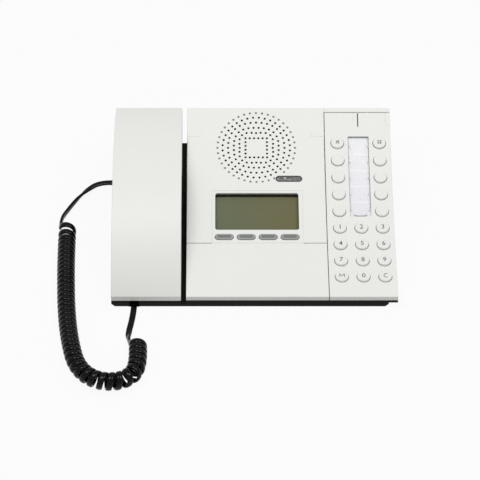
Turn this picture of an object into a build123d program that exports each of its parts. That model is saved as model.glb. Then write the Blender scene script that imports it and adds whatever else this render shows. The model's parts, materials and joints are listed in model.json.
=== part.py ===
from build123d import *
import math
import os

os.makedirs("parts", exist_ok=True)

# A desk phone with a handset at its left, a display panel in the middle and a keypad at its right.
# Millimetres, +Z up. The origin is on the table below the middle of the phone, and +Y points to its rear.
width = 270.0
depth = 214.2
front_height = 14.0

# The panels follow one shallow hollow curve that climbs from the front edge to the rear.
panel_length = 214.45
panel_front_slope = 4.7
panel_rear_slope = 23.9

# Where the three panels divide
handset_width = 65.9
handset_gap = 4.9
keypad_width = 64.36
seam = 0.6
cover_seam_along = 63.5
rear_strip_width = 4.95

# White covers
cover_wall = 2.5
cover_edge = 5.3
cover_edge_wall = 2.0
cover_bevel = 0.7
frame_bevel = 0.3
fit = 0.1
slip = 0.3
groove_width = 0.5
groove_depth = 0.35
groove_along = 183.5
groove_tail = 4.7
left_groove_length = 13.54
right_groove_length = 12.86
past = 1.0

# Flats that stand for a round outline: small and repeated, large, and along a cord
round_sides = 10
large_round_sides = 20
small_hole_sides = 6
cord_sides = 8

# Black lower housing
chassis_wall = 2.4
tray_wall = 2.5
foot_stand = 0.8
keypad_overhang = 8.5
panel_overhang = 4.0
cradle_depth = 179.0
channel_below = 9.1
tray_corner = 3.2
chassis_ledge = 1.0
rear_corner_cut = 2.0

# Loudspeaker grille: rings that turn from a square into circles, over a thin flat-backed field
grille_offset = 0.04
grille_along = 171.5
grille_hole = 1.7
grille_wall = 1.2
grille_field_radius = 42.0
square_half_side = 10.5
square_holes_per_side = 6
rings = [(24, 16.2, 19.6), (28, 21.9, 24.1), (32, 27.6, 29.1), (36, 33.24, 33.24), (40, 38.43, 38.43)]
loudspeaker_radius = 33.0
loudspeaker_flange = 1.2
loudspeaker_seat = 0.6
loudspeaker_rim = 2.5
loudspeaker_depth = 17.0
basket_back_wall = 2.0
magnet_radius = 18.0
magnet_lip = 1.0
magnet_thick = 5.0

# Display frame, its window and the four keys below the window
display_offset = 0.88
display_frame_width = 87.5
display_frame_top_along = 123.4
window_width = 80.8
window_height = 40.2
window_along = 99.4
window_corner = 1.5
display_lip = 1.0
lens_wall = 1.2
display_below = 5.0
display_thick = 3.0
display_margin = 2.4
soft_key_along = 70.5
soft_key_pitch = 21.15
soft_key_length = 18.6
soft_key_width = 7.0
soft_key_count = 4

# Long indicator window below the grille
indicator_offset = 31.88
indicator_along = 136.6
indicator_length = 26.0
indicator_width = 6.8
indicator_flange = 1.5
indicator_flange_wall = 1.0

# Keypad
key_column_inset = 31.7
key_column_pitch = 20.5
key_first_along = 23.9
key_row_pitch = 19.02
key_rows = 9
key_radius = 6.2
key_gap = 0.4
key_proud = 2.0
key_chamfer = 0.8
key_flange = 14.6
key_flange_wall = 0.8
key_travel = 1.5
mat_room = 1.0
mat_wall = 0.8
circuit_wall = 1.4

# Label strip beside the upper keys
label_width = 20.2
label_from_along = 94.2
label_to_along = 183.2
label_recess = 1.7
label_paper = 0.3
notch_radius = 6.2
rear_slot_length = 15.5
rear_slot_width = 1.0
rear_slot_depth = 1.2
rear_line_length = 13.5
rear_line_offsets = (-5.1, 27.6)

# Handset: an arch of even width
handset_peak = 73.5
handset_peak_from_front = 142.5
handset_wall = 2.2
handset_bevel = 1.2
handset_parting_drop = 9.0
handset_rear_edge = 6.0
handset_corner = 3.0
nose_wall_ratio = 1.5
cup_wall_ratio = 1.2
shell_gap = 0.2
grip_thickness = 22.0
mouth_cup_length = 40.0
ear_cup_from = 140.0
ear_cup_to = 178.0
cup_slant = 7.0
cup_round = 5.0
ear_cap_radius = 12.5
ear_cap_along = 161.0
mouth_cap_width = 22.0
mouth_cap_length = 17.0
mouth_cap_x = 11.0
mouth_cap_along = 25.5
cap_proud = 1.4
cap_wall = 2.0
cap_flange = 1.5
mouth_cap_flange = 1.0
mouth_cap_corner = 1.5
ear_hole_radius = 1.0
ear_hole_pitch = 4.2
mouth_hole_radius = 0.9
mouth_hole_pitch = 4.4
receiver_rim = 3.0
microphone_rim = 1.6
microphone_radius = 4.8
capsule_depth = 4.0
jack_reach = 6.6
well_room = 1.4
well_depth = 2.8
cradle_wall = 2.0
rest_gap = 0.3

# Hook plunger beside the earpiece
plunger_x = 24.5
plunger_along = 164.0
plunger_length = 9.0
plunger_width = 5.0
plunger_travel = 4.0
plunger_wall = 1.4
plunger_flange = 1.5
plunger_stem_radius = 1.7
plunger_stem_length = 3.0

# Curly cord: flat lead, coil and plugs
lead_radius = 2.5
coil_radius = 8.4
plug_width = 7.6
plug_height = 6.6
plug_length = 13.7
plug_stick_out = 5.0
plug_chamfer = 0.8
socket_wall = 1.6
socket_fit = 0.2
base_socket_from_front = 160.5
base_socket_z = 9.0
base_socket_length = 14.0
handset_plug_offset = -11.05
handset_plug_along = 14.0
handset_plug_dip = 45.0
handset_socket_length = 12.0
notch_room = 0.5
notch_length = 22.0

# Boards and sockets inside
board_wall = 1.6
board_height = 8.0
board_left_room = 12.0
board_right_room = 8.0
board_from_front = 75.0
standoff_inset = 6.0
standoff_rear_inset = 34.0
processor_size = 24.0
processor_place = (45.0, 40.0)
memory_length = 18.0
memory_width = 9.0
memory_places = ((80.0, 30.0), (80.0, 48.0))
chip_height = 1.6
transformer_length = 16.0
transformer_width = 12.0
transformer_height = 7.0
transformer_insets = (22.0, 45.0)
transformer_rear_inset = 40.0
capacitor_radius = 4.0
capacitor_height = 11.0
capacitor_count = 3
capacitor_inset = 20.0
capacitor_pitch = 14.0
capacitor_rear_inset = 30.0
network_socket_width = 16.0
network_socket_height = 13.5
network_socket_depth = 15.5
network_opening_width = 11.8
network_opening_height = 7.0
network_opening_depth = 12.0
network_socket_pitch = 22.0
network_socket_x = 60.0
latch_slot_height = 3.0
foot_radius = 6.0
foot_recess = 1.2
foot_inset = 16.0
standoff_radius = 3.0

# Worked out from the sizes above
front_y = -depth / 2
left_x = -width / 2
right_x = width / 2
handset_right = left_x + handset_width
handset_x = left_x + handset_width / 2
centre_left = handset_right + handset_gap
handset_rise = handset_peak - front_height
handset_top_radius = (handset_peak_from_front**2 + handset_rise**2) / (2 * handset_rise)
handset_from_peak = depth - handset_peak_from_front
handset_rear_z = handset_peak - handset_top_radius + math.sqrt(handset_top_radius**2 - handset_from_peak**2)
handset_plug_x = handset_x + handset_plug_offset
base_socket_y = front_y + base_socket_from_front
keypad_left = right_x - keypad_width
key_column_x = right_x - key_column_inset
centre_right = keypad_left - seam
centre_middle = (centre_left + centre_right) / 2
grille_x = centre_middle + grille_offset
display_x = centre_middle + display_offset
indicator_x = centre_middle + indicator_offset
rear_strip_along = panel_length - rear_strip_width
panel_radius = panel_length / math.radians(panel_rear_slope - panel_front_slope)
panel_axis_y = front_y - panel_radius * math.sin(math.radians(panel_front_slope))
panel_axis_z = front_height + panel_radius * math.cos(math.radians(panel_front_slope))
chassis_top = cover_edge + fit
chassis_bottom = chassis_top + chassis_wall
tray_top = chassis_bottom + fit
cradle_top = cover_edge + rest_gap
flange_top = cover_wall + slip
flange_bottom = flange_top + key_flange_wall
mat_top = flange_bottom + key_travel + slip
circuit_top = mat_top + mat_wall + fit / 2
cradle_rear = front_y + cradle_depth
tray_right = right_x - keypad_overhang
tray_floor = foot_stand + tray_wall
side_turn = 180 / round_sides


def slope_at(along):
    """Tilt of the panel, in degrees, at a distance up it from its front edge."""
    return panel_front_slope + (panel_rear_slope - panel_front_slope) * along / panel_length


def panel_plane(x, along, below=0.0):
    """The plane that touches the panel at a place, moved below its surface."""
    slope = math.radians(slope_at(along))
    reach = panel_radius + below
    y = panel_axis_y + reach * math.sin(slope)
    z = panel_axis_z - reach * math.cos(slope)
    return Plane(origin=(x, y, z), x_dir=(1, 0, 0), z_dir=(0, -math.sin(slope), math.cos(slope)))


def curve_z(y, below=0.0):
    """Height of the panel's curve at y, at a depth below its surface."""
    reach = panel_radius + below
    return panel_axis_z - math.sqrt(reach**2 - (y - panel_axis_y) ** 2)


def place_y(along):
    """How far back a place on the panel's surface is."""
    return panel_plane(0, along).origin.Y


def curved_slab(x_from, x_to, y_from, y_to, top, bottom):
    """A slab that follows the panel's curve, between two depths below its surface."""
    y_middle = (y_from + y_to) / 2
    top_points = [(y, curve_z(y, top)) for y in (y_from, y_middle, y_to)]
    bottom_points = [(y, curve_z(y, bottom)) for y in (y_to, y_middle, y_from)]
    with BuildPart() as slab:
        with BuildSketch(Plane.YZ.offset(x_from)):
            with BuildLine():
                ThreePointArc(*top_points)
                Line(top_points[-1], bottom_points[0])
                ThreePointArc(*bottom_points)
                Line(bottom_points[-1], top_points[0])
            make_face()
        extrude(amount=x_to - x_from)
    return slab.part


def wedge(x_from, x_to, y_from, y_to, top, z_bottom):
    """A block with a flat bottom whose top follows the panel's curve."""
    y_middle = (y_from + y_to) / 2
    points = [(y, curve_z(y, top)) for y in (y_from, y_middle, y_to)]
    with BuildPart() as block:
        with BuildSketch(Plane.YZ.offset(x_from)):
            with BuildLine():
                ThreePointArc(*points)
                Polyline(points[-1], (y_to, z_bottom), (y_from, z_bottom), points[0])
            make_face()
        extrude(amount=x_to - x_from)
    return block.part


def bevelled_slab(x_from, x_to, y_from, y_to, bottom, bevel):
    """A curved slab whose top edges are bevelled."""
    with BuildPart() as slab:
        add(curved_slab(x_from, x_to, y_from, y_to, 0, bottom))
        top_face = slab.faces().filter_by(GeomType.CYLINDER).sort_by(Axis.Z)[-1]
        chamfer(top_face.edges(), length=bevel)
    return slab.part


def bevelled_outline(length, width, corner, rotation=0):
    """Draws a rectangle whose corners are cut off on the sketch that is open."""
    half_length = length / 2
    half_width = width / 2
    Polygon(
        (-half_length + corner, -half_width),
        (half_length - corner, -half_width),
        (half_length, corner - half_width),
        (half_length, half_width - corner),
        (half_length - corner, half_width),
        (-half_length + corner, half_width),
        (-half_length, half_width - corner),
        (-half_length, corner - half_width),
        rotation=rotation,
    )


def long_outline(length, width, rotation=0):
    """Draws a long outline with half an octagon at each end on the sketch that is open."""
    bevelled_outline(length, width, width * (1 - math.sqrt(0.5)), rotation)


panel_rear = place_y(panel_length)
cover_seam_y = place_y(cover_seam_along)
rear_strip_y = place_y(rear_strip_along)
display_frame_top_y = place_y(display_frame_top_along)
display_frame_left = display_x - display_frame_width / 2
display_frame_right = display_x + display_frame_width / 2
tray_rear = panel_rear - panel_overhang


# Centre cover, with the loudspeaker grille
def grille_places():
    """Middle of every grille hole, across and along the panel from the grille's centre."""
    places = []
    step = 2 * square_half_side / (square_holes_per_side - 1)
    for i in range(square_holes_per_side):
        across = -square_half_side + i * step
        places += [(across, square_half_side), (across, -square_half_side)]
        if 0 < i < square_holes_per_side - 1:
            places += [(square_half_side, across), (-square_half_side, across)]
    for ring, (count, straight_radius, corner_radius) in enumerate(rings):
        offset_turn = 0.5 if ring in (1, 3) else 0.0
        for i in range(count):
            angle = 2 * math.pi * (i + offset_turn) / count
            toward_corner = math.sin(2 * angle) ** 2
            radius = straight_radius + (corner_radius - straight_radius) * toward_corner
            across, up = radius * math.cos(angle), radius * math.sin(angle)
            beside_indicator = abs(grille_x + across - indicator_x) < indicator_length / 2 and (
                grille_along + up < indicator_along + indicator_width
            )
            if not beside_indicator:
                places.append((across, up))
    return places


with BuildPart() as centre_cover:
    cover_front = cover_seam_y + seam / 2
    add(bevelled_slab(centre_left, centre_right, cover_front, panel_rear, cover_edge, cover_bevel))
    add(
        curved_slab(
            centre_left + cover_edge_wall,
            centre_right - cover_edge_wall,
            cover_front - past,
            panel_rear - cover_edge_wall,
            cover_wall,
            cover_edge + past,
        ),
        mode=Mode.SUBTRACT,
    )
    add(
        curved_slab(
            display_frame_left,
            display_frame_right,
            cover_front - past,
            display_frame_top_y,
            -past,
            cover_edge,
        ),
        mode=Mode.SUBTRACT,
    )
    with BuildSketch(panel_plane(indicator_x, indicator_along, -past)):
        long_outline(indicator_length, indicator_width)
    extrude(amount=-past - cover_edge, mode=Mode.SUBTRACT)
    with BuildSketch(panel_plane(grille_x, grille_along, grille_wall)):
        RegularPolygon(grille_field_radius, large_round_sides)
    extrude(amount=-cover_edge, mode=Mode.SUBTRACT)
    grille_planes = [
        panel_plane(grille_x + across, grille_along + up, -past) for across, up in grille_places()
    ]
    with BuildSketch(*grille_planes):
        Rectangle(grille_hole, grille_hole)
    extrude(amount=-2 * past - cover_wall, mode=Mode.SUBTRACT)
    groove_y = place_y(groove_along)
    groove_front = groove_y - groove_width
    groove_ends = (
        (centre_left - past, centre_left + left_groove_length),
        (centre_right + past, centre_right - right_groove_length),
    )
    for outer_x, inner_x in groove_ends:
        x_low, x_high = sorted((outer_x, inner_x))
        add(
            curved_slab(x_low, x_high + groove_width, groove_front, groove_y, -past, groove_depth),
            mode=Mode.SUBTRACT,
        )
        tail_y = place_y(groove_along + groove_tail)
        add(
            curved_slab(inner_x, inner_x + groove_width, groove_y, tail_y, -past, groove_depth),
            mode=Mode.SUBTRACT,
        )
centre_cover.part.label = "centre_cover"
export_step(centre_cover.part, "parts/centre_cover.step")

# Lower cover, bare
with BuildPart() as lower_cover:
    add(bevelled_slab(centre_left, centre_right, front_y, cover_seam_y - seam / 2, cover_edge, cover_bevel))
    add(
        curved_slab(
            centre_left + cover_edge_wall,
            centre_right - cover_edge_wall,
            front_y + cover_edge_wall,
            cover_seam_y,
            cover_wall,
            cover_edge + past,
        ),
        mode=Mode.SUBTRACT,
    )
lower_cover.part.label = "lower_cover"
export_step(lower_cover.part, "parts/lower_cover.step")


# Display frame, with the window and the openings of its four keys
def soft_key_x(number):
    """Middle of one of the keys below the window, numbered from the left."""
    return display_x + (number - (soft_key_count - 1) / 2) * soft_key_pitch


with BuildPart() as display_frame:
    frame_front = cover_seam_y + seam / 2
    frame_left = display_frame_left + slip
    frame_right = display_frame_right - slip
    frame_rear = display_frame_top_y - slip
    add(bevelled_slab(frame_left, frame_right, frame_front, frame_rear, cover_wall, frame_bevel))
    with BuildSketch(panel_plane(display_x, window_along, -past)):
        bevelled_outline(window_width, window_height, window_corner)
    extrude(amount=-3 * past - cover_wall, mode=Mode.SUBTRACT)
    with BuildSketch(panel_plane(display_x, window_along, display_lip)):
        Rectangle(window_width + 2 * display_margin, window_height + 2 * display_margin)
    extrude(amount=-cover_wall, mode=Mode.SUBTRACT)
    with BuildSketch(*[panel_plane(soft_key_x(i), soft_key_along, -past) for i in range(soft_key_count)]):
        long_outline(soft_key_length + 2 * key_gap, soft_key_width + 2 * key_gap)
    extrude(amount=-2 * past - cover_wall, mode=Mode.SUBTRACT)
display_frame.part.label = "display_frame"
export_step(display_frame.part, "parts/display_frame.step")

# Clear lens behind the window, its dark gasket and the display module
lens_width = window_width + 2 * (display_margin - slip)
lens_height = window_height + 2 * (display_margin - slip)
with BuildPart() as display_lens:
    with BuildSketch(panel_plane(display_x, window_along, display_lip + slip)):
        Rectangle(lens_width, lens_height)
    extrude(amount=-lens_wall)
display_lens.part.label = "display_lens"
export_step(display_lens.part, "parts/display_lens.step")

gasket_top = display_lip + slip + lens_wall + fit
with BuildPart() as display_gasket:
    with BuildSketch(panel_plane(display_x, window_along, gasket_top)):
        Rectangle(lens_width, lens_height)
        Rectangle(window_width - 2 * fit, window_height - 2 * fit, mode=Mode.SUBTRACT)
    extrude(amount=-(display_below - gasket_top - fit))
display_gasket.part.label = "display_gasket"
export_step(display_gasket.part, "parts/display_gasket.step")

with BuildPart() as display_module:
    with BuildSketch(panel_plane(display_x, window_along, display_below)):
        Rectangle(lens_width, lens_height)
    extrude(amount=-display_thick)
display_module.part.label = "display_module"
export_step(display_module.part, "parts/display_module.step")

# The four keys below the window
for number in range(soft_key_count):
    with BuildPart() as soft_key:
        with BuildSketch(panel_plane(soft_key_x(number), soft_key_along, flange_top)):
            long_outline(soft_key_length, soft_key_width)
        extrude(amount=flange_top + key_proud / 2)
        chamfer(soft_key.faces().sort_by(Axis.Z)[-1].edges(), length=key_chamfer / 2)
        with BuildSketch(panel_plane(soft_key_x(number), soft_key_along, flange_top)):
            Rectangle(soft_key_length + 2 * key_gap, soft_key_width + 4 * key_gap)
        extrude(amount=-key_flange_wall)
    soft_key.part.label = f"soft_key_{number + 1}"
    export_step(soft_key.part, f"parts/soft_key_{number + 1}.step")

# Long indicator window
with BuildPart() as indicator_window:
    with BuildSketch(panel_plane(indicator_x, indicator_along, fit)):
        long_outline(indicator_length - 2 * fit, indicator_width - 2 * fit)
    extrude(amount=-cover_wall - slip)
    chamfer(indicator_window.faces().sort_by(Axis.Z)[-1].edges(), length=key_chamfer / 2)
    with BuildSketch(panel_plane(indicator_x, indicator_along, cover_wall + slip)):
        long_outline(indicator_length + 2 * indicator_flange, indicator_width + 2 * indicator_flange)
    extrude(amount=-indicator_flange_wall)
indicator_window.part.label = "indicator_window"
export_step(indicator_window.part, "parts/indicator_window.step")


# Keypad cover
def key_along(row):
    """Place of a key row up the panel. Row 0 is the rear one."""
    return key_first_along + key_row_pitch * (key_rows - 1 - row)


left_column, middle_column, right_column = (key_column_x + i * key_column_pitch for i in (-1, 0, 1))
key_places = {"key_star": (left_column, 0), "key_hash": (right_column, 0)}
for row in range(1, 5):
    key_places[f"key_left_{row}"] = (left_column, row)
    key_places[f"key_right_{row}"] = (right_column, row)
for digit in range(1, 10):
    row, column = divmod(digit - 1, 3)
    key_places[f"key_{digit}"] = (left_column + column * key_column_pitch, 5 + row)
key_places["key_m"] = (left_column, 8)
key_places["key_0"] = (middle_column, 8)
key_places["key_c"] = (right_column, 8)

label_left = key_column_x - label_width / 2
label_front = place_y(label_from_along)
label_rear = place_y(label_to_along)
with BuildPart() as keypad_cover:
    keypad_rear = rear_strip_y - seam / 2
    add(bevelled_slab(keypad_left, right_x, front_y, keypad_rear, cover_edge, cover_bevel))
    add(
        curved_slab(
            keypad_left + cover_edge_wall,
            right_x - cover_edge_wall,
            front_y + cover_edge_wall,
            keypad_rear - cover_edge_wall,
            cover_wall,
            cover_edge + past,
        ),
        mode=Mode.SUBTRACT,
    )
    with BuildSketch(*[panel_plane(x, key_along(row), -past) for x, row in key_places.values()]):
        RegularPolygon(key_radius + key_gap, round_sides, rotation=side_turn)
    extrude(amount=-2 * past - cover_wall, mode=Mode.SUBTRACT)
    add(
        curved_slab(label_left, label_left + label_width, label_front, label_rear, -past, label_recess),
        mode=Mode.SUBTRACT,
    )
    slot_left = key_column_x - rear_slot_width / 2
    slot_front = place_y(rear_strip_along - rear_slot_length)
    cut_rear = keypad_rear + past
    add(
        curved_slab(slot_left, slot_left + rear_slot_width, slot_front, cut_rear, -past, rear_slot_depth),
        mode=Mode.SUBTRACT,
    )
    line_front = place_y(rear_strip_along - rear_line_length)
    for line_offset in rear_line_offsets:
        line_x = key_column_x + line_offset
        add(
            curved_slab(line_x, line_x + groove_width, line_front, cut_rear, -past, groove_depth),
            mode=Mode.SUBTRACT,
        )
keypad_cover.part.label = "keypad_cover"
export_step(keypad_cover.part, "parts/keypad_cover.step")

with BuildPart() as rear_strip:
    add(curved_slab(keypad_left, right_x, rear_strip_y + seam / 2, panel_rear, 0, cover_edge))
    rear_corner = rear_strip.edges().filter_by(Axis.Z).sort_by(Axis.Y)[-2:].sort_by(Axis.X)[-1]
    chamfer(rear_corner, length=rear_corner_cut)
    curved_faces = rear_strip.faces().filter_by(GeomType.CYLINDER)
    top_face = curved_faces.sort_by(SortBy.AREA)[-2:].sort_by(Axis.Z)[-1]
    chamfer(top_face.edges(), length=cover_bevel)
rear_strip.part.label = "rear_strip"
export_step(rear_strip.part, "parts/rear_strip.step")

# Label strip and its clear window
with BuildPart() as label_strip:
    paper_top = label_recess - label_paper - fit
    add(
        curved_slab(
            label_left + slip,
            label_left + label_width - slip,
            label_front + slip,
            label_rear - slip,
            paper_top,
            label_recess - fit,
        )
    )
label_strip.part.label = "label_strip"
export_step(label_strip.part, "parts/label_strip.step")

with BuildPart() as label_window:
    add(
        curved_slab(
            label_left + fit,
            label_left + label_width - fit,
            label_front + fit,
            label_rear - fit,
            fit,
            paper_top - fit,
        )
    )
    with BuildSketch(panel_plane(key_column_x, label_from_along - notch_radius / 2, -past)):
        Circle(notch_radius)
    extrude(amount=-label_recess - 2 * past, mode=Mode.SUBTRACT)
label_window.part.label = "label_window"
export_step(label_window.part, "parts/label_window.step")

# Keys
for name, (key_x, row) in key_places.items():
    with BuildPart() as key:
        with BuildSketch(panel_plane(key_x, key_along(row), flange_top)):
            RegularPolygon(key_radius, round_sides, rotation=side_turn)
        extrude(amount=flange_top + key_proud)
        chamfer(key.faces().sort_by(Axis.Z)[-1].edges(), length=key_chamfer)
        with BuildSketch(panel_plane(key_x, key_along(row), flange_top)):
            Rectangle(key_flange, key_flange)
        extrude(amount=-key_flange_wall)
    key.part.label = name
    export_step(key.part, f"parts/{name}.step")

# Rubber mat and circuit below the keys
mat_left = left_column - key_flange / 2 - mat_room
mat_right = right_column + key_flange / 2 + slip
mat_front = place_y(key_along(key_rows - 1)) - key_flange / 2 - mat_room
mat_rear = place_y(key_along(0)) + key_flange / 2 + mat_room
with BuildPart() as key_mat:
    add(curved_slab(mat_left, mat_right, mat_front, mat_rear, mat_top, mat_top + mat_wall))
key_mat.part.label = "key_mat"
export_step(key_mat.part, "parts/key_mat.step")

with BuildPart() as keypad_circuit:
    add(curved_slab(mat_left, mat_right, mat_front, mat_rear, circuit_top, circuit_top + circuit_wall))
keypad_circuit.part.label = "keypad_circuit"
export_step(keypad_circuit.part, "parts/keypad_circuit.step")

# Chassis: the black frame that the white covers sit on
speaker_seat = chassis_top + loudspeaker_seat
circuit_rest = circuit_top + circuit_wall + fit
with BuildPart() as chassis:
    add(curved_slab(centre_left, right_x, front_y, panel_rear, chassis_top, chassis_bottom))
    chassis_corner = chassis.edges().filter_by(Axis.Z).group_by(Axis.Y)[-1].sort_by(Axis.X)[-1]
    chamfer(chassis_corner, length=rear_corner_cut)
    add(
        curved_slab(
            mat_left - slip,
            mat_right + slip,
            mat_front - slip,
            mat_rear + slip,
            chassis_top - past,
            chassis_bottom + past,
        ),
        mode=Mode.SUBTRACT,
    )
    add(
        curved_slab(
            tray_right + slip,
            mat_right + past,
            mat_front - past,
            mat_rear + past,
            circuit_rest,
            chassis_bottom + chassis_ledge,
        )
    )
    add(
        curved_slab(
            display_frame_left,
            display_frame_right,
            cover_seam_y,
            display_frame_top_y + display_thick,
            chassis_top - past,
            chassis_bottom + past,
        ),
        mode=Mode.SUBTRACT,
    )
    with BuildSketch(panel_plane(grille_x, grille_along, 0)):
        RegularPolygon(loudspeaker_radius + slip, large_round_sides)
    extrude(amount=-speaker_seat, mode=Mode.SUBTRACT)
    with BuildSketch(panel_plane(grille_x, grille_along, 0)):
        RegularPolygon(loudspeaker_radius - loudspeaker_rim + slip, large_round_sides)
    extrude(amount=-2 * tray_top, mode=Mode.SUBTRACT)
chassis.part.label = "chassis"
export_step(chassis.part, "parts/chassis.step")

# Loudspeaker: flange, basket, cone hollow and magnet
flange_under = speaker_seat - fit
speaker_back = flange_under + loudspeaker_depth - magnet_thick
basket_depth = speaker_back - flange_under
cone_depth = basket_depth + loudspeaker_flange - basket_back_wall
basket_radius = (loudspeaker_radius - loudspeaker_rim) * math.cos(math.pi / large_round_sides)
hung = (Align.CENTER, Align.CENTER, Align.MAX)
with BuildPart() as loudspeaker:
    with BuildSketch(panel_plane(grille_x, grille_along, flange_under)):
        RegularPolygon(loudspeaker_radius, large_round_sides)
    extrude(amount=loudspeaker_flange)
    with Locations(panel_plane(grille_x, grille_along, flange_under)):
        Cone(magnet_radius - magnet_lip, basket_radius, basket_depth, align=hung)
    with BuildSketch(panel_plane(grille_x, grille_along, speaker_back)):
        RegularPolygon(magnet_radius, large_round_sides)
    extrude(amount=-magnet_thick)
    with Locations(panel_plane(grille_x, grille_along, flange_under - loudspeaker_flange)):
        Cone(magnet_radius / 2, basket_radius - loudspeaker_rim, cone_depth, align=hung, mode=Mode.SUBTRACT)
loudspeaker.part.label = "loudspeaker"
export_step(loudspeaker.part, "parts/loudspeaker.step")

# Base tray: floor, walls, channel between handset and panel, feet recesses, socket openings and cord notch
notch_width = plug_width + 2 * notch_room
tray_left = left_x + slip
foot_places = [
    (left_x + foot_inset, front_y + notch_length + foot_inset),
    (left_x + foot_inset, cradle_rear - foot_inset),
    (centre_left + foot_inset, tray_rear - foot_inset),
    (tray_right - foot_inset, front_y + foot_inset),
    (tray_right - foot_inset, tray_rear - foot_inset),
]
board_left = centre_left + board_left_room
board_right = tray_right - board_right_room
board_front = front_y + board_from_front
board_rear = tray_rear - tray_wall - slip
standoffs = [
    (x, y)
    for x in (board_left + standoff_inset, board_right - standoff_inset)
    for y in (board_front + standoff_inset, board_rear - standoff_rear_inset)
]
network_sockets_x = [network_socket_x + side * network_socket_pitch / 2 for side in (-1, 1)]
board_top = board_height + board_wall
network_middle_z = board_top + network_socket_height / 2


def cord_notch():
    """The notch that lets the cord out from under the handset, open to the front and to the table."""
    with BuildPart() as notch:
        with BuildSketch(Plane.XY.offset(-past)):
            with Locations((handset_plug_x, front_y + notch_length / 2 - past)):
                Rectangle(notch_width, notch_length + 2 * past)
        extrude(amount=2 * front_height)
    return notch.part


with BuildPart() as base_tray:
    add(wedge(tray_left, centre_left + tray_wall, front_y, cradle_rear, tray_top, foot_stand))
    add(wedge(centre_left, tray_right, front_y, tray_rear, tray_top, foot_stand))
    lower_edges = base_tray.edges().group_by(Axis.Z)[0].filter_by(Axis.Y)
    chamfer((lower_edges.sort_by(Axis.X)[0], lower_edges.sort_by(Axis.X)[-1]), length=tray_corner)
    add(
        wedge(
            tray_left + tray_wall,
            centre_left + tray_wall + past,
            front_y + tray_wall,
            cradle_rear - tray_wall,
            -past,
            tray_floor,
        ),
        mode=Mode.SUBTRACT,
    )
    add(
        wedge(
            centre_left + tray_wall,
            tray_right - tray_wall,
            front_y + tray_wall,
            tray_rear - tray_wall,
            -past,
            tray_floor,
        ),
        mode=Mode.SUBTRACT,
    )
    channel_bottom = channel_below + tray_wall
    add(
        curved_slab(
            handset_right - tray_wall,
            centre_left + tray_wall,
            front_y,
            cradle_rear,
            tray_top,
            channel_bottom,
        )
    )
    add(
        curved_slab(handset_right, centre_left, front_y - past, cradle_rear + past, -past, channel_below),
        mode=Mode.SUBTRACT,
    )
    add(
        wedge(
            handset_plug_x - notch_width / 2 - tray_wall,
            handset_plug_x + notch_width / 2 + tray_wall,
            front_y,
            front_y + notch_length + tray_wall,
            tray_top,
            foot_stand,
        )
    )
    add(cord_notch(), mode=Mode.SUBTRACT)
    with BuildSketch(Plane.XY.offset(foot_stand)):
        with Locations(*standoffs):
            RegularPolygon(standoff_radius, round_sides)
    extrude(amount=board_height - foot_stand)
    with BuildSketch(Plane.XY):
        with Locations(*foot_places):
            RegularPolygon(foot_radius + fit, round_sides)
    extrude(amount=foot_stand + foot_recess, mode=Mode.SUBTRACT)
    with BuildSketch(Plane.XZ.offset(-tray_rear - past)):
        with Locations(*[(x, network_middle_z) for x in network_sockets_x]):
            Rectangle(network_socket_width + 2 * slip, network_socket_height + 2 * slip)
    extrude(amount=tray_wall + 2 * past, mode=Mode.SUBTRACT)
    with BuildSketch(Plane.YZ.offset(tray_left - past)):
        with Locations((base_socket_y, base_socket_z)):
            Rectangle(plug_width + 2 * notch_room, plug_height + 2 * notch_room)
    extrude(amount=tray_wall + 2 * past, mode=Mode.SUBTRACT)
base_tray.part.label = "base_tray"
export_step(base_tray.part, "parts/base_tray.step")

# Rubber feet
with BuildPart() as feet:
    with BuildSketch(Plane.XY):
        with Locations(*foot_places):
            RegularPolygon(foot_radius, round_sides)
    extrude(amount=foot_stand + foot_recess - fit)
feet.part.label = "feet"
export_step(feet.part, "parts/feet.step")

# Cradle: deck under the handset, with a well for its earpiece, one for its mouthpiece and the cord notch
ear_below = cradle_top + well_depth
well_bottom = ear_below + cradle_wall
plunger_place = panel_plane(handset_x + plunger_x, plunger_along, cradle_top).origin
with BuildPart() as cradle:
    add(curved_slab(left_x + slip, handset_right, front_y, cradle_rear, cradle_top, chassis_bottom))
    well_block_top = cradle_top + past
    with BuildSketch(panel_plane(handset_x, ear_cap_along, well_block_top)):
        RegularPolygon(ear_cap_radius + well_room + cradle_wall, large_round_sides)
    extrude(amount=well_block_top - well_bottom)
    with BuildSketch(panel_plane(handset_x + mouth_cap_x, mouth_cap_along, well_block_top)):
        Rectangle(
            mouth_cap_width + 2 * (well_room + cradle_wall),
            mouth_cap_length + 2 * (well_room + cradle_wall),
        )
    extrude(amount=well_block_top - well_bottom)
    well_cut_top = cradle_top - 3 * past
    with BuildSketch(panel_plane(handset_x, ear_cap_along, well_cut_top)):
        RegularPolygon(ear_cap_radius + well_room, large_round_sides)
    extrude(amount=well_cut_top - ear_below, mode=Mode.SUBTRACT)
    with BuildSketch(panel_plane(handset_x + mouth_cap_x, mouth_cap_along, well_cut_top)):
        Rectangle(mouth_cap_width + 2 * well_room, mouth_cap_length + 2 * well_room)
    extrude(amount=well_cut_top - ear_below, mode=Mode.SUBTRACT)
    add(cord_notch(), mode=Mode.SUBTRACT)
    with BuildSketch(Plane.XY):
        with Locations((plunger_place.X, plunger_place.Y)):
            long_outline(plunger_length + 2 * slip, plunger_width + 2 * slip, rotation=90)
    extrude(amount=handset_peak, mode=Mode.SUBTRACT)
cradle.part.label = "cradle"
export_step(cradle.part, "parts/cradle.step")

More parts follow.
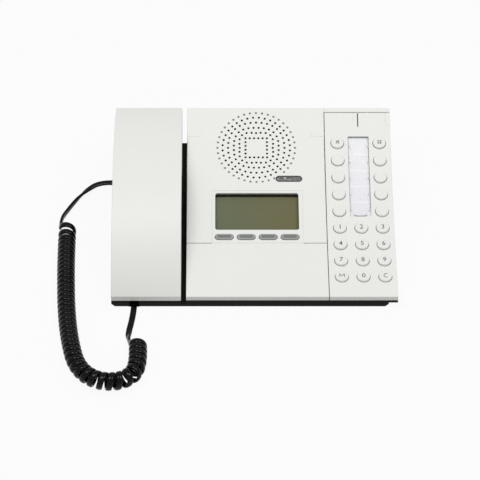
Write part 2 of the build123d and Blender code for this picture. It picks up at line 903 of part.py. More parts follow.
# Hook plunger, which the resting handset holds down
plunger_flange_z = plunger_place.Z - chassis_wall - plunger_travel - 2 * plunger_wall
plunger_flange_length = plunger_length + 2 * plunger_flange
plunger_flange_width = plunger_width + 2 * plunger_flange
with BuildPart() as hook_plunger:
    with BuildSketch(Plane.XY.offset(plunger_flange_z)):
        with Locations((plunger_place.X, plunger_place.Y)):
            long_outline(plunger_length, plunger_width, rotation=90)
    extrude(amount=handset_peak - plunger_flange_z)
    add(
        curved_slab(handset_x, handset_right, front_y, cradle_rear, -handset_peak, cradle_top),
        mode=Mode.SUBTRACT,
    )
    with BuildSketch(Plane.XY.offset(plunger_flange_z)):
        with Locations((plunger_place.X, plunger_place.Y)):
            long_outline(plunger_flange_length, plunger_flange_width, rotation=90)
    extrude(amount=-plunger_wall)
    with BuildSketch(Plane.XY.offset(plunger_flange_z - plunger_wall)):
        with Locations((plunger_place.X, plunger_place.Y)):
            RegularPolygon(plunger_stem_radius, round_sides)
    extrude(amount=-plunger_stem_length)
hook_plunger.part.label = "hook_plunger"
export_step(hook_plunger.part, "parts/hook_plunger.step")

# Main board with its larger components, and the two network sockets at its rear edge
with BuildPart() as main_board:
    with BuildSketch(Plane.XY.offset(board_height + fit)):
        with Locations(((board_left + board_right) / 2, (board_front + board_rear) / 2)):
            Rectangle(board_right - board_left, board_rear - board_front)
    extrude(amount=board_wall - 2 * fit)
    with BuildSketch(Plane.XY.offset(board_top - fit)):
        with Locations((board_left + processor_place[0], board_front + processor_place[1])):
            Rectangle(processor_size, processor_size)
        with Locations(*[(board_left + across, board_front + back) for across, back in memory_places]):
            Rectangle(memory_length, memory_width)
    extrude(amount=chip_height)
    transformer_y = board_rear - transformer_rear_inset
    with BuildSketch(Plane.XY.offset(board_top - fit)):
        with Locations(*[(board_right - inset, transformer_y) for inset in transformer_insets]):
            Rectangle(transformer_length, transformer_width)
    extrude(amount=transformer_height)
    capacitors_x = [board_left + capacitor_inset + i * capacitor_pitch for i in range(capacitor_count)]
    with BuildSketch(Plane.XY.offset(board_top - fit)):
        with Locations(*[(x, board_rear - capacitor_rear_inset) for x in capacitors_x]):
            RegularPolygon(capacitor_radius, round_sides)
    extrude(amount=capacitor_height)
main_board.part.label = "main_board"
export_step(main_board.part, "parts/main_board.step")

network_face = tray_rear - fit
with BuildPart() as network_sockets:
    with BuildSketch(Plane.XZ.offset(-network_face)):
        with Locations(*[(x, network_middle_z) for x in network_sockets_x]):
            Rectangle(network_socket_width, network_socket_height)
    extrude(amount=network_socket_depth)
    with BuildSketch(Plane.XZ.offset(-network_face)):
        with Locations(*[(x, network_middle_z) for x in network_sockets_x]):
            Rectangle(network_opening_width, network_opening_height)
        with Locations(*[(x, network_middle_z + network_opening_height / 2) for x in network_sockets_x]):
            Rectangle(network_opening_width / 2, latch_slot_height)
    extrude(amount=network_opening_depth, mode=Mode.SUBTRACT)
network_sockets.part.label = "network_sockets"
export_step(network_sockets.part, "parts/network_sockets.step")


# Handset
def handset_block(inset=0.0):
    """The whole handset as one solid, or its inside when every side is moved in by a wall."""
    axis_y = front_y + handset_peak_from_front
    axis_z = handset_peak - handset_top_radius
    top_radius = handset_top_radius - inset
    grip_radius = handset_top_radius - grip_thickness + inset
    below = cover_edge - inset
    nose_y = front_y + nose_wall_ratio * inset
    tail_y = front_y + depth - inset
    mouth_y = front_y + mouth_cup_length - cup_wall_ratio * inset
    ear_y = front_y + ear_cup_from + cup_wall_ratio * inset
    ear_rear_y = front_y + ear_cup_to

    def arch(y, radius):
        return (y, axis_z + math.sqrt(radius**2 - (y - axis_y) ** 2))

    def under(y):
        return (y, curve_z(y, below))

    nose_top = arch(nose_y, top_radius)
    nose_bottom = (nose_y, max(curve_z(nose_y, below), front_height - cover_edge + inset))
    tail_top = arch(tail_y, top_radius)
    tail_bottom = (tail_y, handset_rear_z - handset_rear_edge + inset)
    grip_front = arch(mouth_y + cup_slant, grip_radius)
    grip_rear = arch(ear_y - cup_slant, grip_radius)
    with BuildPart() as block:
        with BuildSketch(Plane.YZ.offset(handset_x + slip / 2)):
            with BuildLine():
                ThreePointArc(nose_top, (axis_y, axis_z + top_radius), tail_top)
                Polyline(tail_top, tail_bottom, under(ear_rear_y))
                ThreePointArc(under(ear_rear_y), under((ear_rear_y + ear_y) / 2), under(ear_y))
                Line(under(ear_y), grip_rear)
                ThreePointArc(grip_rear, arch((mouth_y + ear_y) / 2, grip_radius), grip_front)
                Line(grip_front, under(mouth_y))
                ThreePointArc(under(mouth_y), under((mouth_y + nose_y) / 2), nose_bottom)
                Line(nose_bottom, nose_top)
            make_face()
        extrude(amount=(handset_width - slip) / 2 - inset, both=True)
        for corner in (under(ear_y), grip_rear, grip_front, under(mouth_y)):
            place = Vector(handset_x, *corner)
            fillet(block.edges().filter_by(Axis.X).sort_by_distance(place)[0], radius=cup_round - inset)
    return block.part


def parting_slab(above, below):
    """A thick slab that follows the seam between the handset's shells, to a height above and below it."""
    middle = (front_y + handset_peak_from_front, handset_peak - handset_parting_drop)
    front_point = (front_y - past, front_height - cover_edge - past)
    rear_point = (front_y + depth + past, handset_rear_z - handset_rear_edge - past)
    with BuildPart() as slab:
        with BuildSketch(Plane.YZ.offset(left_x - past)):
            with BuildLine():
                upper = [(y, z + above) for y, z in (front_point, middle, rear_point)]
                lower = [(y, z - below) for y, z in (rear_point, middle, front_point)]
                ThreePointArc(*upper)
                Line(upper[-1], lower[0])
                ThreePointArc(*lower)
                Line(lower[-1], upper[0])
            make_face()
        extrude(amount=handset_width + 2 * past)
    return slab.part


with BuildPart() as handset_outer:
    add(handset_block())
    rear_edges = handset_outer.edges().filter_by(Axis.Z).group_by(Axis.Y)[-1]
    chamfer(rear_edges, length=handset_corner)
    top_face = handset_outer.faces().filter_by(GeomType.CYLINDER).sort_by(SortBy.AREA)[-1]
    chamfer(top_face.edges(), length=handset_bevel)

with BuildPart() as handset_top_shell:
    add(handset_outer.part)
    add(parting_slab(handset_peak, 0), mode=Mode.INTERSECT)
    add(handset_block(handset_wall), mode=Mode.SUBTRACT)
handset_top_shell.part.label = "handset_top_shell"
export_step(handset_top_shell.part, "parts/handset_top_shell.step")

# The jack in the handset's underside points down and forward into the cord notch
dip = math.radians(handset_plug_dip)
jack_point = panel_plane(handset_plug_x, handset_plug_along, cover_edge).origin
jack_plane = Plane(origin=jack_point, x_dir=(1, 0, 0), z_dir=(0, -math.cos(dip), -math.sin(dip)))
ear_plane = panel_plane(handset_x, ear_cap_along, cover_edge)
mouth_plane = panel_plane(handset_x + mouth_cap_x, mouth_cap_along, cover_edge)
with BuildPart() as handset_lower_shell:
    add(handset_outer.part)
    add(parting_slab(-shell_gap, handset_peak), mode=Mode.INTERSECT)
    add(handset_block(handset_wall), mode=Mode.SUBTRACT)
    with BuildSketch(ear_plane):
        RegularPolygon(ear_cap_radius + fit, large_round_sides)
    extrude(amount=2 * handset_wall, both=True, mode=Mode.SUBTRACT)
    with BuildSketch(mouth_plane):
        bevelled_outline(mouth_cap_width + 2 * fit, mouth_cap_length + 2 * fit, mouth_cap_corner)
    extrude(amount=2 * handset_wall, both=True, mode=Mode.SUBTRACT)
    with BuildSketch(jack_plane):
        Rectangle(plug_width + 4 * socket_fit, plug_height + 4 * socket_fit)
    extrude(amount=plug_length, both=True, mode=Mode.SUBTRACT)
handset_lower_shell.part.label = "handset_lower_shell"
export_step(handset_lower_shell.part, "parts/handset_lower_shell.step")

# Perforated caps over the receiver and the microphone
cap_flange_under = handset_wall + slip
with BuildPart() as earpiece_cap:
    with BuildSketch(ear_plane.offset(-cap_proud)):
        RegularPolygon(ear_cap_radius, large_round_sides)
    extrude(amount=cap_proud + cap_flange_under)
    chamfer(earpiece_cap.faces().sort_by(Axis.Z)[0].edges(), length=cap_proud / 2)
    with BuildSketch(ear_plane.offset(cap_flange_under)):
        RegularPolygon(ear_cap_radius + cap_flange, large_round_sides)
    extrude(amount=cap_wall / 2)
    with BuildSketch(ear_plane.offset(cap_wall - cap_proud)):
        RegularPolygon(ear_cap_radius - cap_wall, large_round_sides)
    extrude(amount=2 * handset_wall, mode=Mode.SUBTRACT)
    with BuildSketch(ear_plane.offset(-cap_proud - past)):
        with HexLocations(ear_hole_pitch, 3, 3):
            RegularPolygon(ear_hole_radius, small_hole_sides)
    extrude(amount=cap_wall + 2 * past, mode=Mode.SUBTRACT)
earpiece_cap.part.label = "earpiece_cap"
export_step(earpiece_cap.part, "parts/earpiece_cap.step")

with BuildPart() as mouthpiece_cap:
    with BuildSketch(mouth_plane.offset(-cap_proud)):
        bevelled_outline(mouth_cap_width, mouth_cap_length, mouth_cap_corner)
    extrude(amount=cap_proud + cap_flange_under)
    chamfer(mouthpiece_cap.faces().sort_by(Axis.Z)[0].edges(), length=cap_proud / 2)
    with BuildSketch(mouth_plane.offset(cap_flange_under)):
        Rectangle(mouth_cap_width + 2 * mouth_cap_flange, mouth_cap_length + 2 * mouth_cap_flange)
    extrude(amount=cap_wall / 2)
    with BuildSketch(mouth_plane.offset(cap_wall - cap_proud)):
        Rectangle(mouth_cap_width - 2 * cap_wall, mouth_cap_length - 2 * cap_wall)
    extrude(amount=2 * handset_wall, mode=Mode.SUBTRACT)
    with BuildSketch(mouth_plane.offset(-cap_proud - past)):
        with GridLocations(mouth_hole_pitch, mouth_hole_pitch, 3, 2):
            RegularPolygon(mouth_hole_radius, small_hole_sides)
    extrude(amount=cap_wall + 2 * past, mode=Mode.SUBTRACT)
mouthpiece_cap.part.label = "mouthpiece_cap"
export_step(mouthpiece_cap.part, "parts/mouthpiece_cap.step")

# Receiver and microphone capsules, seated on their caps
capsule_under = cap_flange_under + cap_wall / 2 + fit
with BuildPart() as receiver:
    with BuildSketch(ear_plane.offset(capsule_under)):
        RegularPolygon(ear_cap_radius - 1, large_round_sides)
    extrude(amount=receiver_rim)
    with BuildSketch(ear_plane.offset(capsule_under + receiver_rim)):
        RegularPolygon(ear_cap_radius / 2, round_sides)
    extrude(amount=capsule_depth)
receiver.part.label = "receiver"
export_step(receiver.part, "parts/receiver.step")

with BuildPart() as microphone:
    with BuildSketch(mouth_plane.offset(capsule_under)):
        Rectangle(mouth_cap_width - 1, mouth_cap_length - 1)
    extrude(amount=microphone_rim)
    with BuildSketch(mouth_plane.offset(capsule_under + microphone_rim)):
        RegularPolygon(microphone_radius, round_sides)
    extrude(amount=capsule_depth)
microphone.part.label = "microphone"
export_step(microphone.part, "parts/microphone.step")

# Cord sockets
with BuildPart() as handset_socket:
    socket_body = (plug_width + 2 * (socket_fit + socket_wall), plug_height + 2 * (socket_fit + socket_wall))
    with BuildSketch(jack_plane.offset(jack_reach)):
        Rectangle(*socket_body)
    extrude(amount=-jack_reach - handset_socket_length)
    add(handset_block(handset_wall + fit), mode=Mode.INTERSECT)
    with BuildSketch(jack_plane.offset(jack_reach)):
        Rectangle(plug_width + 2 * socket_fit, plug_height + 2 * socket_fit)
    extrude(amount=-jack_reach - handset_socket_length + socket_wall, mode=Mode.SUBTRACT)
handset_socket.part.label = "handset_socket"
export_step(handset_socket.part, "parts/handset_socket.step")

base_jack_point = (tray_left, base_socket_y, base_socket_z)
base_jack_plane = Plane(origin=base_jack_point, x_dir=(0, 1, 0), z_dir=(-1, 0, 0))
base_socket_width = plug_width + 2 * (socket_fit + socket_wall)
with BuildPart() as cord_socket:
    with BuildSketch(base_jack_plane.offset(-tray_wall - fit)):
        Rectangle(base_socket_width, 2 * (base_socket_z - tray_floor - fit))
    extrude(amount=-base_socket_length)
    with BuildSketch(base_jack_plane):
        Rectangle(plug_width + 2 * socket_fit, plug_height + 2 * socket_fit)
    extrude(amount=-tray_wall - base_socket_length + socket_wall, mode=Mode.SUBTRACT)
cord_socket.part.label = "cord_socket"
export_step(cord_socket.part, "parts/cord_socket.step")


# Plugs of the curly cord
def plug(plane):
    """A plug in its socket. The plane lies in the socket's mouth and faces out along the cord."""
    with BuildPart() as body:
        with BuildSketch(plane.offset(plug_stick_out)):
            Rectangle(plug_width, plug_height)
        extrude(amount=-plug_length)
        edges = body.edges().filter_by(lambda e: abs(e.length - plug_length) < 0.01)
        chamfer(edges, length=plug_chamfer)
        with BuildSketch(plane.offset(plug_stick_out - plug_length / 2)):
            with Locations((0, -plug_height / 2)):
                Rectangle(plug_width / 2, 1)
        extrude(amount=plug_length / 4, mode=Mode.SUBTRACT)
    return body.part


base_plug = plug(base_jack_plane)
base_plug.label = "base_plug"
export_step(base_plug, "parts/base_plug.step")

handset_plug = plug(jack_plane)
handset_plug.label = "handset_plug"
export_step(handset_plug, "parts/handset_plug.step")

# Route of the cord, chosen by hand: from the jack in the tray's left wall, round in front of the phone
# and back to the jack under the handset
coil_z = 8.4
lead_base_points = [
    (-139.7, 53.4, 9.0),
    (-151.0, 53.4, 9.0),
    (-163.5, 48.0, 4.2),
    (-173.0, 36.0, 2.6),
    (-181.5, 22.0, 2.6),
    (-186.2, 6.9, 7.4),
    (-186.2, -6.1, 7.4),
]
coil_points = [
    (-180.4, -6.1, coil_z),
    (-180.4, -45.1, coil_z),
    (-178.6, -83.1, coil_z),
    (-174.5, -121.1, coil_z),
    (-167.5, -157.1, coil_z),
    (-160.0, -190.1, coil_z),
    (-144.5, -205.6, coil_z),
    (-122.5, -205.6, coil_z),
    (-107.0, -190.1, coil_z),
    (-107.0, -153.1, coil_z),
]
lead_handset_points = [
    (-113.1, -96.6, 6.6),
    (-113.1, -100.6, 2.6),
    (-113.2, -111.0, 2.6),
    (-114.4, -127.0, 2.6),
    (-112.6, -142.0, 7.2),
    (-112.6, -153.1, 7.2),
]


def turn_radii(points):
    """Radius of the arc at each turn of a route, from its shorter run and how far it turns."""
    radii = []
    for before, here, after in zip(points, points[1:], points[2:]):
        run_in = Vector(here) - Vector(before)
        run_out = Vector(after) - Vector(here)
        half_turn = math.radians(run_in.get_angle(run_out)) / 2
        radii.append(0.45 * min(run_in.length, run_out.length) / math.tan(half_turn))
    return radii


def cord_tube(name, points, radius):
    """A tube along a route of straight runs and arcs, with its size printed."""
    radii = turn_radii(points)
    with BuildPart() as tube:
        with BuildLine() as route:
            FilletPolyline(*points, radius=radii)
        with BuildSketch(Plane(origin=points[0], z_dir=Vector(points[1]) - Vector(points[0]))) as section:
            RegularPolygon(radius, cord_sides)
        sweep(path=route.wires()[0])
    length = route.wires()[0].length
    expected = section.sketch.area * length
    print(name, "length", round(length, 1), "radii", [round(r, 1) for r in radii])
    print(name, "volume", round(tube.part.volume), "section times length", round(expected))
    tube.part.label = name
    export_step(tube.part, f"parts/{name}.step")


cord_tube("lead_base", lead_base_points, lead_radius)
cord_tube("cord_coil", coil_points, coil_radius)
cord_tube("lead_handset", lead_handset_points, lead_radius)
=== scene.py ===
# %% [markdown]
# A desk phone in plastic
#
# The phone has white panels on a black tray, an arched handset on a curly cord, a small display
# and a keypad. The CAD model holds every size. This script gives each piece its finish, and models
# again, more finely, the pieces that a close look would catch.

# %% Load the CAD model
import json
import math
import random

import bmesh
import bpy
from mathutils import Matrix, Vector


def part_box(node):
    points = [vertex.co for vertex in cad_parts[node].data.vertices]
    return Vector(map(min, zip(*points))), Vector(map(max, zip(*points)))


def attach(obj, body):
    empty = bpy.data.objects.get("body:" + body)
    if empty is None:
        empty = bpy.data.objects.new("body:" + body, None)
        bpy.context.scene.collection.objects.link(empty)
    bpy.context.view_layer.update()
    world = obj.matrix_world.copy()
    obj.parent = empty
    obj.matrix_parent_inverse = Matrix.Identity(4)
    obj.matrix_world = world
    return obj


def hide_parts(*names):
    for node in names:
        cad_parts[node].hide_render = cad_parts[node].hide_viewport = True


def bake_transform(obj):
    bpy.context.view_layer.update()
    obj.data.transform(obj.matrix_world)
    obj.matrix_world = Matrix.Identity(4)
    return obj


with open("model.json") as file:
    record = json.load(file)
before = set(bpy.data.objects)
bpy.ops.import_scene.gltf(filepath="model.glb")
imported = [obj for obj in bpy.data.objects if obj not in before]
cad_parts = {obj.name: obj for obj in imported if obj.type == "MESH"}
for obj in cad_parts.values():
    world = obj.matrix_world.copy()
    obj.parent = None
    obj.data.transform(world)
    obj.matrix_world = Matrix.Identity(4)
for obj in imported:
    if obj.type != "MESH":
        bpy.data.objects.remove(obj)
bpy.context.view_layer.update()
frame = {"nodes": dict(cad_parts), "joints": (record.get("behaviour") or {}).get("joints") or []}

nodes = frame["nodes"]
joints = {joint["name"]: joint for joint in frame["joints"]}
mm = 0.001

# %% [markdown]
# The camera stands in front of the phone, 45 degrees up, and far away, so that the sides of the
# phone hardly run together. A long lens does that, where a near camera would fan the panels out.

# %% Camera
front_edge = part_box("lower_cover")[0].y
front_top = 14 * mm
camera_slope = math.radians(45)
camera_distance = 2131.77 * mm
camera_aside = -40.04 * mm
camera_above = 53.26 * mm
frame_width_px = 480
focal_px = 2273.54
centre_px = 211.83

forward = Vector((0, math.sin(camera_slope), -math.cos(camera_slope)))
upward = Vector((0, math.cos(camera_slope), math.sin(camera_slope)))
camera_data = bpy.data.cameras.new("camera")
camera = bpy.data.objects.new("camera", camera_data)
bpy.context.scene.collection.objects.link(camera)
camera_aim = Vector((camera_aside, front_edge, front_top))
camera.location = camera_aim - forward * camera_distance + upward * camera_above
camera.rotation_euler = (camera_slope, 0, 0)
camera_data.sensor_width = 36
camera_data.lens = focal_px * camera_data.sensor_width / frame_width_px
camera_data.shift_x = (frame_width_px / 2 - centre_px) / frame_width_px
camera_data.clip_end = 20
bpy.context.scene.camera = camera
bpy.context.scene.view_settings.view_transform = "Standard"
print("camera at", tuple(round(value, 3) for value in camera.location), "lens", round(camera_data.lens))

# %% [markdown]
# The white panels follow one shallow hollow curve. The keys press at right angles to it, so the
# lines of two key joints meet on the curve's axis. That gives the curve without a number from the
# drawing, and every place on the panels then follows from how far across and how far up it lies.

# %% The panels' curve, worked out from two keys
front_key = joints["key_m_press"]
rear_key = joints["key_star_press"]


def curve_axis():
    """Where the lines through two keys, at right angles to the panel, cross. The y and z of the axis."""
    (_, y1, z1), (_, a1, b1) = front_key["pos_m"], front_key["axis"]
    (_, y2, z2), (_, a2, b2) = rear_key["pos_m"], rear_key["axis"]
    along_first = ((y2 - y1) * -b2 - (z2 - z1) * -a2) / (-a1 * -b2 - -b1 * -a2)
    return Vector((0, y1 - a1 * along_first, z1 - b1 * along_first))


panel_axis = curve_axis()
panel_radius = math.hypot(front_key["pos_m"][1] - panel_axis.y, front_key["pos_m"][2] - panel_axis.z)
front_angle = math.asin((front_edge - panel_axis.y) / panel_radius)
print("panel radius", round(panel_radius / mm, 1), "mm")
print("slope at the front", round(math.degrees(front_angle), 1), "degrees")


def on_panel(x, along, above=0.0):
    """A place on the panels, in millimetres across, up from the front edge and above the surface."""
    angle = front_angle + along * mm / panel_radius
    reach = panel_radius - above * mm
    return Vector((x * mm, panel_axis.y + reach * math.sin(angle), panel_axis.z - reach * math.cos(angle)))


def panel_turn(along):
    """A matrix that turns a direction on the flat panel to where it points once the panel is bent."""
    angle = front_angle + along * mm / panel_radius
    across = Vector((1, 0, 0))
    up_panel = Vector((0, math.cos(angle), math.sin(angle)))
    out = Vector((0, -math.sin(angle), math.cos(angle)))
    return Matrix((across, up_panel, out)).transposed()


def along_panel(point):
    """How far up the panel a point in metres lies, in millimetres."""
    angle = math.atan2(point[1] - panel_axis.y, panel_axis.z - point[2])
    return (angle - front_angle) * panel_radius / mm


# %% [markdown]
# Nearly every finish here is like moulded plastic, so they share their parts: a base colour that
# drifts a little, a roughness that is uneven, and a fine bump from the spark-eroded mould. Writing
# each as bare nodes is long and hard to read. A small class lets shader maths be written as
# sums, and one method adds any other node.

# %% Shader maths as expressions
class Signal:
    """A value that runs through a finish's nodes. Arithmetic on it adds Math nodes."""

    def __init__(self, finish, socket):
        self.finish = finish
        self.socket = socket

    def math(self, operation, first, second=None):
        values = {0: first} if second is None else {0: first, 1: second}
        return self.finish.add("ShaderNodeMath", {"operation": operation}, values)

    def __add__(self, other):
        return self.math("ADD", self, other)

    def __radd__(self, other):
        return self.math("ADD", other, self)

    def __sub__(self, other):
        return self.math("SUBTRACT", self, other)

    def __rsub__(self, other):
        return self.math("SUBTRACT", other, self)

    def __mul__(self, other):
        return self.math("MULTIPLY", self, other)

    def __rmul__(self, other):
        return self.math("MULTIPLY", other, self)

    def __truediv__(self, other):
        return self.math("DIVIDE", self, other)

    def __rtruediv__(self, other):
        return self.math("DIVIDE", other, self)

    def __lt__(self, other):
        return self.math("LESS_THAN", self, other)

    def __abs__(self):
        return self.math("ABSOLUTE", self)


print("a signal can be added, subtracted, multiplied, divided, compared and made positive")


# %% A finish and the nodes that make it
class Finish:
    """One material and the nodes that make it."""

    def __init__(self, name):
        self.material = bpy.data.materials.new(name)
        self.material.use_nodes = True
        self.tree = self.material.node_tree
        self.tree.nodes.clear()
        self.out = self.tree.nodes.new("ShaderNodeOutputMaterial")
        self.place = self.add("ShaderNodeTexCoord", {}, {}, "Object")

    def add(self, kind, settings, values, output=0):
        """Adds a node: its settings first, then the values or links of its sockets."""
        node = self.tree.nodes.new(kind)
        for name, value in settings.items():
            if name == "stops":
                self.set_stops(node.color_ramp, value)
            else:
                setattr(node, name, value)
        for name, value in values.items():
            if isinstance(value, Signal):
                self.tree.links.new(value.socket, node.inputs[name])
            else:
                node.inputs[name].default_value = value
        return Signal(self, node.outputs[output])

    def set_stops(self, ramp, stops):
        """Puts each colour at its place on a ramp."""
        while len(ramp.elements) < len(stops):
            ramp.elements.new(1.0)
        for element, (position, colour) in zip(ramp.elements, stops):
            element.position = position
            element.color = (*colour, 1)

    def noise(self, size_mm, detail=2.0):
        """Cloudy noise between 0 and 1 with clouds of about this size."""
        values = {"Vector": self.place, "Scale": 1 / (size_mm * mm), "Detail": detail}
        return self.add("ShaderNodeTexNoise", {}, values)

    def blend(self, share, first, second):
        """A colour between two others."""
        values = {0: share, 6: first, 7: second}
        return self.add("ShaderNodeMix", {"data_type": "RGBA"}, values, 2)

    def bump(self, height, depth_mm, strength):
        """Turns a height into small hollows and rises of the surface."""
        values = {"Height": height, "Distance": depth_mm * mm, "Strength": strength}
        return self.add("ShaderNodeBump", {}, values)

    def surface(self, values):
        """Ends the material with a Principled shader of these values."""
        shader = self.add("ShaderNodeBsdfPrincipled", {}, values)
        self.tree.links.new(shader.socket, self.out.inputs["Surface"])
        return self


print("a finish can", [name for name in vars(Finish) if not name.startswith("_")])


# %% Colours and moulded plastic
def colour(red, green, blue):
    """A colour written as it looks, 0 to 255, turned into the light that a shader works in."""
    linear = []
    for value in (red, green, blue):
        share = value / 255
        linear.append(share / 12.92 if share <= 0.04045 else ((share + 0.055) / 1.055) ** 2.4)
    return (*linear, 1.0)


cloud_mm = 40.0
wear_mm = 6.0
wear_share = 0.08
grain_share = 0.05


def moulded_plastic(name, tint, drift, rough, grain_mm, depth_mm, strength=0.5, mirror=0.5):
    """Moulded plastic: a tint that drifts a little, uneven gloss and the fine bump of its mould."""
    finish = Finish(name)
    clouds = finish.noise(cloud_mm, 3.0)
    base = finish.blend(clouds, colour(*tint), colour(*drift))
    grain = finish.noise(grain_mm, 2.0)
    wear = finish.noise(wear_mm, 3.0)
    roughness = rough + wear_share * (wear - 0.5) + grain_share * (grain - 0.5)
    normal = finish.bump(grain, depth_mm, strength)
    return finish.surface(
        {"Base Color": base, "Roughness": roughness, "Normal": normal, "Specular IOR Level": mirror}
    )


print("white", tuple(round(value, 2) for value in colour(233, 234, 229)))

# %% [markdown]
# The covers and the handset are a satin white with a touch of green-grey. Real white plastic is
# never pure white, and its texture breaks up the highlights. The black tray and deck have a
# coarser grain, which hides scratches. The keys are a smoother white than the panel round them.

# %% White finishes
cover_white = moulded_plastic(
    "cover_white", (233, 234, 229), (230, 231, 226), rough=0.46, grain_mm=0.35, depth_mm=0.012
)
handset_white = moulded_plastic(
    "handset_white", (232, 233, 228), (229, 230, 225), rough=0.4, grain_mm=0.35, depth_mm=0.01
)
key_white = moulded_plastic(
    "key_white", (232, 233, 229), (229, 230, 226), rough=0.42, grain_mm=0.3, depth_mm=0.006
)
print("white finishes", cover_white.material.name, handset_white.material.name, key_white.material.name)

# %% [markdown]
# Black plastic mirrors the pale room, and that alone can turn it grey. In the blacks the mirroring
# is therefore turned down until the lit faces look as dark as they are. The cord is the glossiest
# of them, because each turn of it shows two small lights, and rubber and felt are the dullest.

# %% Black finishes
tray_black = moulded_plastic(
    "tray_black", (19, 19, 16), (15, 15, 13), rough=0.42, grain_mm=0.5, depth_mm=0.03, mirror=0.11
)
cap_black = moulded_plastic(
    "cap_black", (25, 25, 22), (19, 19, 17), rough=0.36, grain_mm=0.4, depth_mm=0.02, mirror=0.22
)
rubber_black = moulded_plastic(
    "rubber_black", (26, 26, 26), (20, 20, 20), rough=0.8, grain_mm=0.4, depth_mm=0.03, mirror=0.2
)
cord_jacket = moulded_plastic(
    "cord_jacket", (6, 6, 6), (4, 4, 4), rough=0.11, grain_mm=0.8, depth_mm=0.02, strength=0.25, mirror=0.2
)
felt_black = moulded_plastic(
    "felt_black", (38, 38, 36), (28, 28, 27), rough=0.9, grain_mm=0.25, depth_mm=0.05, mirror=0.2
)
print("black finishes", tray_black.material.name, cap_black.material.name, cord_jacket.material.name)

# %% [markdown]
# The greys are small things: the keys below the display, the ink of the signs, the rim of the
# indicator and the painted shade along the edges of the label's window. The circuit boards and the
# loudspeaker are hidden at rest, but a look inside should still find a green board and a dark metal basket.

# %% Grey finishes and those of hidden pieces
soft_key_grey = moulded_plastic(
    "soft_key_grey", (164, 166, 163), (152, 154, 151), rough=0.22, grain_mm=0.3, depth_mm=0.008
)
# The soft keys' grey painted darker: painted shade in their troughs.
soft_key_inlay = moulded_plastic(
    "soft_key_inlay", (132, 134, 131), (122, 124, 121), rough=0.2, grain_mm=0.3, depth_mm=0.006
)
sign_grey = moulded_plastic(
    "sign_grey", (84, 85, 84), (74, 75, 74), rough=0.5, grain_mm=0.3, depth_mm=0.004
)
felt_grey = moulded_plastic(
    "felt_grey", (140, 141, 138), (124, 125, 122), rough=0.9, grain_mm=0.25, depth_mm=0.05
)
lens_dark = moulded_plastic(
    "lens_dark", (82, 83, 81), (70, 71, 69), rough=0.25, grain_mm=0.4, depth_mm=0.01
)
# Painted shade: the grey of the strips along the label window's edges.
window_edge_shade = moulded_plastic(
    "window_edge_shade", (132, 133, 134), (122, 123, 125), rough=0.2, grain_mm=0.4, depth_mm=0.004
)
# Painted highlight: the white of the pads that stand for glints on the label window's tabs.
window_glint = moulded_plastic(
    "window_glint", (252, 252, 253), (248, 248, 250), rough=0.1, grain_mm=0.4, depth_mm=0.002
)
board_green = moulded_plastic(
    "board_green", (32, 92, 54), (26, 80, 46), rough=0.35, grain_mm=2.0, depth_mm=0.02
)
speaker_dark = moulded_plastic(
    "speaker_dark", (62, 62, 60), (52, 52, 50), rough=0.55, grain_mm=0.6, depth_mm=0.03
)
print("finishes so far", len(bpy.data.materials))

# %% [markdown]
# The display is off. An unlit liquid crystal is a matt olive sheet behind a clear window, and up
# close its dots are a faint grid. The window itself hardly shows: it adds a weak reflection that
# grows towards a grazing view.

# %% Finish of the display
dot_pitch = 0.55
dot_line = 0.03
dot_darkness = 0.12
display_shift = nodes["display_module"].matrix_world.translation.x
display_left, display_right = (corner.x - display_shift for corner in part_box("display_module"))


def display_olive():
    """A matt sheet, greener at the left and browner at the right, with a faint grid of dots."""
    finish = Finish("display_olive")
    parts = finish.add("ShaderNodeSeparateXYZ", {}, {"Vector": finish.place})
    across = Signal(finish, parts.socket.node.outputs["X"])
    up = Signal(finish, parts.socket.node.outputs["Y"])

    def dots(position):
        return finish.add("ShaderNodeMath", {"operation": "PINGPONG"}, {0: position, 1: dot_pitch * mm / 2})

    lines = (dots(across) < dot_line * mm) + (dots(up) < dot_line * mm)
    drift = 0.5 * (finish.noise(45.0, 2.0) - 0.5)
    share = (across - display_left) / (display_right - display_left) + drift
    sheet = finish.blend(share, colour(119, 127, 99), colour(126, 122, 84))
    base = finish.blend(lines * dot_darkness, sheet, colour(86, 88, 64))
    rough = 0.5 + 0.05 * finish.noise(3.0)
    return finish.surface({"Base Color": base, "Roughness": rough, "Specular IOR Level": 0.2})


olive_display = display_olive()
print("display from", round(display_left / mm, 1), "to", round(display_right / mm, 1), "mm")


# %% Finish of the clear windows
def clear_window(name, tint, haze):
    """A clear pane that shows more of its own tint towards a grazing view."""
    finish = Finish(name)
    glance = finish.add("ShaderNodeLayerWeight", {}, {"Blend": 0.35}, "Fresnel")
    smudges = finish.noise(12.0, 3.0)
    values = {"Base Color": tint, "Roughness": 0.05 + 0.05 * smudges, "Alpha": haze + 0.25 * glance}
    return finish.surface(values)


display_window = clear_window("display_window", colour(40, 42, 30), 0.05)
label_cover = clear_window("label_cover", colour(244, 245, 248), 0.06)
print("windows", display_window.material.name, label_cover.material.name)

# %% [markdown]
# The label strip is printed paper. A picture could hold its lines, but a line that is worked out
# from the place stays sharp at any distance: it is where the paper is nearer than a third of a
# millimetre to one of four places up the panel. The sheet is painted lighter towards the rear,
# which is painted light.

# %% Finish of the label strip
cell_lines = (111.2, 129.0, 146.8, 164.6)
cell_line_half = 0.34
front_cell = 17
rear_cell = 18


